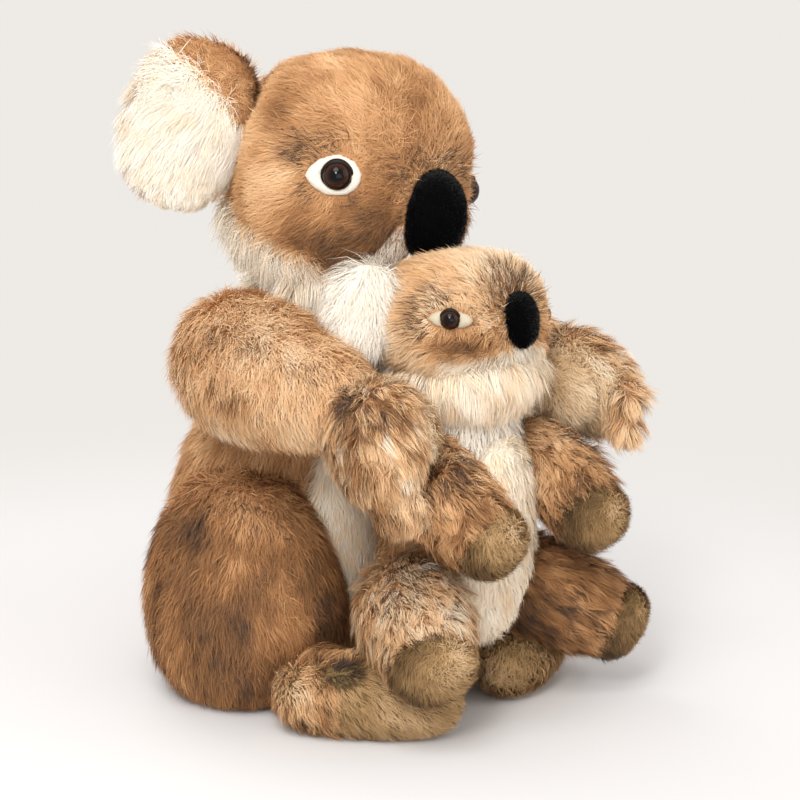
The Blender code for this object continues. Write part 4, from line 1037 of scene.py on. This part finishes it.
def mother_styles(found):
    found["mother_torso"] = [style(SHORT_PILE, density=64.0, length=0.0160, tint=0.42, mottle=0.12)]
    found["mother_belly"] = [style(
        WHITE_PILE, density=76.0, length=0.012, tint=0.82, mottle=0.02, speck=0.02)]
    crown = dict(
        width=0.0004, tint=0.455, stray=0.46, lift=0.40, mottle=0.28, grain=np.array((1.0, 0.8, 0.8)),
        pull=0.18, speck=0.020, loose=0.03, swirl=0.42,
        flow=away_from(NOSE + (0.0, -0.02, 0.0), (0.0, 0.3, -0.25)))
    found["mother_head"] = [
        style(SHORT_PILE, density=132.0, length=0.0118, changes=head_changes(), where=on_face, **crown),
        style(
            SHORT_PILE, called="nape_pile", density=104.0, length=0.0125,
            changes=(*crown_changes(), neck_fur), where=all_but(on_face), **crown),
    ]
    found["mother_ruff"] = [style(
        WHITE_PILE, density=112.0, length=0.021, width=0.0004, tint=0.90, mottle=0.02, speck=0.015,
        flow=away_from(HEAD, (0.0, 0.0, -1.4)), pull=0.55, tuft=0.018, lift=0.38, stray=0.5, swirl=0.5)]
    found["mother_muzzle"] = [style(
        WHITE_PILE, density=110.0, length=0.006, width=0.0005, tint=0.97, mottle=0.01, speck=0.015)]
    found["mother_nose"] = [style(
        VELVET_PILE, density=320.0, length=0.0020, width=0.0003, tint=0.4, bare=0.001, pull=0.0, lift=0.75)]
    for tag, side in SIDES:
        found[f"mother_haunch_{tag}"] = [style(
            SHORT_PILE, density=90.0, length=0.0140, tint=0.24, flow=combed((0.0, -0.20, -1.0)), mottle=0.19,
            stray=0.42, swirl=0.36, grain=np.array((1.5, 1.5, 0.45)), lift=0.38,
            changes=(
                blotch((-0.090, -0.020, 0.135), 0.030, 0.44, amount=0.5),
                dark_hairs(((-0.088, -0.075, 0.120), (-0.100, -0.060, 0.126)), 0.010, 0.22),
                blotch((-0.110, -0.060, 0.020), 0.035, 0.22, amount=0.7),
            ))]
        found[f"mother_ankle_{tag}"] = [style(
            SHORT_PILE, density=84.0, length=0.012, tint=0.42, flow=combed((0, -1, -0.6)))]
        found[f"mother_foot_{tag}"] = foot_styles(tag, side)
        found[f"mother_ear_{tag}"] = ear_styles(f"mother_ear_{tag}", side)
        found[f"mother_arm_{tag}"] = [arm_style()]
        found[f"mother_hand_{tag}"] = hand_styles(tag, side)
        palm = middle_of(f"mother_palm_{tag}")
        found[f"mother_palm_{tag}"] = [style(
            OLIVE_PILE, density=140.0, length=0.008, width=0.00042, tint=0.84, mottle=0.12,
            flow=away_from(palm, (0.0, -0.3, -0.3)))]
        found[f"mother_patch_{tag}"] = []


def on_chest(roots, normals, rng):
    """The young one's upper front, where white fur runs from the chin to the belly."""
    near = np.abs(roots[:, 0]) < 0.032 + 0.004 * rng.standard_normal(len(roots))
    return near & (normals[:, 1] < -0.2) & (roots[:, 2] > 0.13)


def young_styles(found):
    found["young_torso"] = [
        style(SHAGGY_PILE, density=70.0, length=0.015, tint=0.46, where=all_but(on_chest)),
        style(
            WHITE_PILE, called="chest_pile", slot="white_plush", density=90.0, length=0.015, tint=0.97,
            mottle=0.01, speck=0.015, where=on_chest),
    ]
    found["young_belly"] = [style(
        WHITE_PILE, density=95.0, length=0.011, tint=0.83, mottle=0.03, speck=0.015, lift=0.35,
        stray=0.50, swirl=0.50, pull=0.4, tuft=0.02)]
    found["young_head"] = [style(
        SHAGGY_PILE, density=170.0, length=0.0120, width=0.00038, tint=0.60, stray=0.46, mottle=0.20,
        lift=0.46, flow=away_from(YOUNG_NOSE + (0.0, -0.01, 0.0), (0.0, 0.2, -0.1)), pull=0.45,
        changes=young_head_changes())]
    found["young_ruff"] = [style(
        WHITE_PILE, density=160.0, width=0.00034, length=0.019, tint=0.83, mottle=0.03, speck=0.012,
        flow=away_from(YOUNG_HEAD + (0.0, 0.02, 0.02), (0.0, 0.0, -1.6)), lift=0.34, pull=0.55, tuft=0.018,
        stray=0.50, swirl=0.55)]
    found["young_nose"] = [style(
        VELVET_PILE, density=360.0, length=0.0022, width=0.0003, tint=0.4, bare=0.001, pull=0.0, lift=0.75)]
    limb = dict(length=0.0140, width=0.0004, mottle=0.16, pull=0.60, tuft=0.03, tuft_shade=0.06)
    for tag, side in SIDES:
        found[f"young_ear_{tag}"] = [style(
            WHITE_PILE, density=185.0, length=0.0205, width=0.00034, tint=0.975, mottle=0.008, speck=0.012,
            pull=0.45, tuft=0.014, lift=0.34, flow=combed((side * -0.25, -0.15, -1.0)), stray=0.34,
            swirl=0.45, loose=0.02)]
        found[f"young_arm_{tag}"] = [style(
            SHAGGY_PILE, density=128.0, tint=0.50, flow=combed((0.0, -0.7, -0.8)), **limb,
            changes=(
                parted(75.0, 0.7, 0.32, 67),
                dark_hairs(((-0.053, -0.190, 0.168), (-0.058, -0.196, 0.160)), 0.009, 0.40, tint_to=0.05),
                blotch((-0.052, -0.210, 0.146), 0.010, 0.12, share=0.5),
            ))]
        found[f"young_leg_{tag}"] = [style(
            # the far leg is tinted darker than the near one, as painted shade on the side away from the key
            # lamp
            SHAGGY_PILE, density=126.0, tint=0.66 if side > 0 else 0.26,
            flow=combed((side * -0.3, -0.9, -0.6)), **limb,
            changes=(
                parted(75.0, 0.5, 0.30, 69),
                dark_hairs(((-0.070, -0.166, 0.100), (-0.074, -0.172, 0.092)), 0.012, 0.26, tint_to=0.05),
            ))]
        for name, tip in ((f"young_paw_{tag}", (0.0, -0.6, 0.8)), (f"young_sole_{tag}", (0.0, -0.5, 0.9))):
            middle = middle_of(name)
            found[name] = [style(
                # the far paw and sole are tinted darker than the near ones, as painted shade on the side away
                # from the key lamp
                OLIVE_PILE, density=170.0, length=0.007, width=0.0004, tint=0.44 if side > 0 else 0.32,
                mottle=0.12, lift=0.40, flow=swirled(middle + (0.0, 0.01, 0.0), (-0.2 * side, -1.0, 0.1)),
                # a painted highlight across each pad and painted shade toward its rim
                changes=(pad_highlight_and_rim_shade(middle + (0.0, -0.010, 0.004), 0.014, tip),))]
        found[f"young_patch_{tag}"] = []


def styles():
    """The piles of each stuffed node; the felt patches have none."""
    found = {}
    mother_styles(found)
    young_styles(found)
    return found


def dress():
    """Skins and piles for every stuffed node."""
    for number, (node, piles) in enumerate(sorted(styles().items())):
        slot = slot_of(node)
        small = node.split("_")[0] == "young" or "muzzle" in node
        voxel = SMALL_VOXEL if small else SKIN_VOXEL
        if slot in ("white_felt", "black_velvet"):
            voxel = TRIM_VOXEL
        skin = padded_skin(node, voxel, SPECIAL_SKINS.get(node.rsplit("_", 1)[0], SKINS[slot]))
        for place, values in enumerate(piles):
            grow(skin, node, values, FIRST_SEED + number * NODE_SEEDS + place * PILE_SEEDS)


def cover(node, material):
    node.data.materials.clear()
    node.data.materials.append(material)


def dress_eyes():
    """Gloss and a lid for each eye, and plain plastic for the washers."""
    for who in ("mother", "young"):
        for tag, _ in SIDES:
            eye = frame["nodes"][f"{who}_eye_{tag}"]
            centre, axis, radius = eye_lie(eye.name, f"{who}_washer_{tag}")
            cover(eye, eye_material(f"{who}_eye_gloss_{tag}", tuple(centre), tuple(axis), radius))
            round_normals(eye, centre, axis, radius)
            add_lid(who, tag, centre, axis, radius)
    for name, node in frame["nodes"].items():
        if "_washer_" in name:
            cover(node, WASHER)


def round_normals(eye, centre, axis, radius):
    """Normals of a true dome on the front of an eye, so that its highlight is round."""
    spots, _ = node_arrays(eye.name)
    ahead = (spots - centre) @ axis
    height = ahead.max()
    reach = (radius ** 2 + height ** 2) / (2 * height)
    facing = unit(spots - (centre + axis * (height - reach)))
    facing[ahead <= 0.02 * radius] = 0.0
    for face in eye.data.polygons:
        face.use_smooth = True
    eye.data.normals_split_custom_set_from_vertices(facing.tolist())


def eye_lie(eye, washer):
    """An eye's centre at its rim, the way it looks, and its radius, from the solids themselves."""
    spots, _ = node_arrays(eye)
    behind, _ = node_arrays(washer)
    start = behind.mean(axis=0)
    axis = spots.mean(axis=0) - start
    axis /= np.linalg.norm(axis)
    reach = np.linalg.norm(np.cross(spots - start, axis), axis=1)
    rim = (spots - start)[reach > reach.max() * 0.97] @ axis
    return start + axis * rim.mean(), axis, reach.max()


def add_lid(who, tag, centre, axis, radius):
    """A dark rim round an eye, thicker above, as a moulded lid."""
    side = np.cross(axis, UP)
    side /= np.linalg.norm(side)
    rise = np.cross(side, axis)
    mesh = bmesh.new()
    rows = []
    for step in range(LID_STEPS):
        angle = 2 * math.pi * step / LID_STEPS
        outward = side * math.cos(angle) + rise * math.sin(angle)
        above = max(0.0, math.sin(angle))
        corner = abs(math.cos(angle)) ** 6
        thick = radius * (0.06 + 0.16 * above)
        middle = centre + outward * (radius * (0.91 + 0.12 * corner))
        middle = middle + axis * (radius * (0.12 + 0.22 * above))
        row = []
        for turn in range(LID_ROUND_STEPS):
            around = 2 * math.pi * turn / LID_ROUND_STEPS
            spot = middle + (outward * math.cos(around) + axis * math.sin(around)) * thick
            row.append(mesh.verts.new(Vector(spot)))
        rows.append(row)
    for index, row in enumerate(rows):
        after = rows[(index + 1) % LID_STEPS]
        for turn in range(LID_ROUND_STEPS):
            nxt = (turn + 1) % LID_ROUND_STEPS
            mesh.faces.new((row[turn], row[nxt], after[nxt], after[turn]))
    bmesh.ops.recalc_face_normals(mesh, faces=mesh.faces)
    data = bpy.data.meshes.new(f"{who}_lid_{tag}")
    mesh.to_mesh(data)
    mesh.free()
    data.shade_smooth()
    data.materials.append(LID)
    made = link(data.name, data)
    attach(made, body_of(f"{who}_eye_{tag}"))


# Studio

def seen_directly(tree):
    """One for rays from the camera, and for those that a gloss or a clear surface sends on."""
    path = tree.nodes.new("ShaderNodeLightPath").outputs
    both = maths(tree, "MAXIMUM", path["Is Camera Ray"], path["Is Glossy Ray"])
    return maths(tree, "MAXIMUM", both, path["Is Transmission Ray"])


def floor_material():
    """A pale floor that fades into the backdrop away from the toy."""
    made, tree, shader = new_material("studio_floor", 0.9, 0.1)
    colour = palette_ramp(tree, grain(tree, 2.0), ((0.3, FLOOR_COLOUR), (0.7, FLOOR_LIGHT)))
    feed(tree, shader.inputs["Base Color"], colour)
    fade = add_node(tree, "ShaderNodeMapRange", vector_maths(tree, "LENGTH", object_space(tree))["Value"])
    fade.interpolation_type = "SMOOTHSTEP"
    fade.inputs["From Min"].default_value = FADE_START
    fade.inputs["From Max"].default_value = FADE_END
    amount = maths(tree, "MULTIPLY", fade.outputs[0], seen_directly(tree))
    plain = add_node(tree, "ShaderNodeEmission", (*linear(BACKDROP), 1.0))
    mixed = add_node(tree, "ShaderNodeMixShader", amount, shader.outputs[0], plain.outputs[0])
    feed(tree, tree.nodes["Material Output"].inputs[0], mixed.outputs[0])
    return made


def build_studio():
    bpy.ops.mesh.primitive_plane_add(size=FLOOR_SIZE)
    floor = bpy.context.active_object
    floor.name = "studio_floor"
    floor.data.materials.append(floor_material())

    world = bpy.context.scene.world or bpy.data.worlds.new("studio")
    bpy.context.scene.world = world
    world.use_nodes = True
    tree = world.node_tree
    tree.nodes.clear()
    light = add_node(tree, "ShaderNodeBackground", (*linear(SKY_COLOUR), 1.0), SKY_STRENGTH)
    seen = add_node(tree, "ShaderNodeBackground", (*linear(BACKDROP), 1.0), 1.0)
    mixed = add_node(tree, "ShaderNodeMixShader", seen_directly(tree), light.outputs[0], seen.outputs[0])
    add_node(tree, "ShaderNodeOutputWorld", mixed.outputs[0])
    for lamp in LAMPS:
        add_lamp(*lamp)


def add_lamp(name, place, size, power):
    data = bpy.data.lights.new(name, "AREA")
    data.shape = "DISK"
    data.size = size
    data.energy = power
    data.color = LAMP_COLOUR
    lamp = link(name, data)
    lamp.location = place
    lamp.rotation_euler = (Vector(CAMERA_TARGET) - Vector(place)).to_track_quat("-Z", "Y").to_euler()


def build_camera():
    turn, rise = math.radians(CAMERA_TURN), math.radians(CAMERA_RISE)
    look = Vector((math.sin(turn) * math.cos(rise), -math.cos(turn) * math.cos(rise), math.sin(rise)))
    data = bpy.data.cameras.new("camera")
    data.lens = CAMERA_LENS
    data.sensor_width = CAMERA_SENSOR
    camera = link("camera", data)
    camera.location = Vector(CAMERA_TARGET) + look * CAMERA_DISTANCE
    camera.rotation_euler = (-look).to_track_quat("-Z", "Y").to_euler()
    bpy.context.scene.camera = camera


dress()
dress_eyes()
build_studio()
build_camera()
bpy.context.scene.view_settings.view_transform = "Standard"
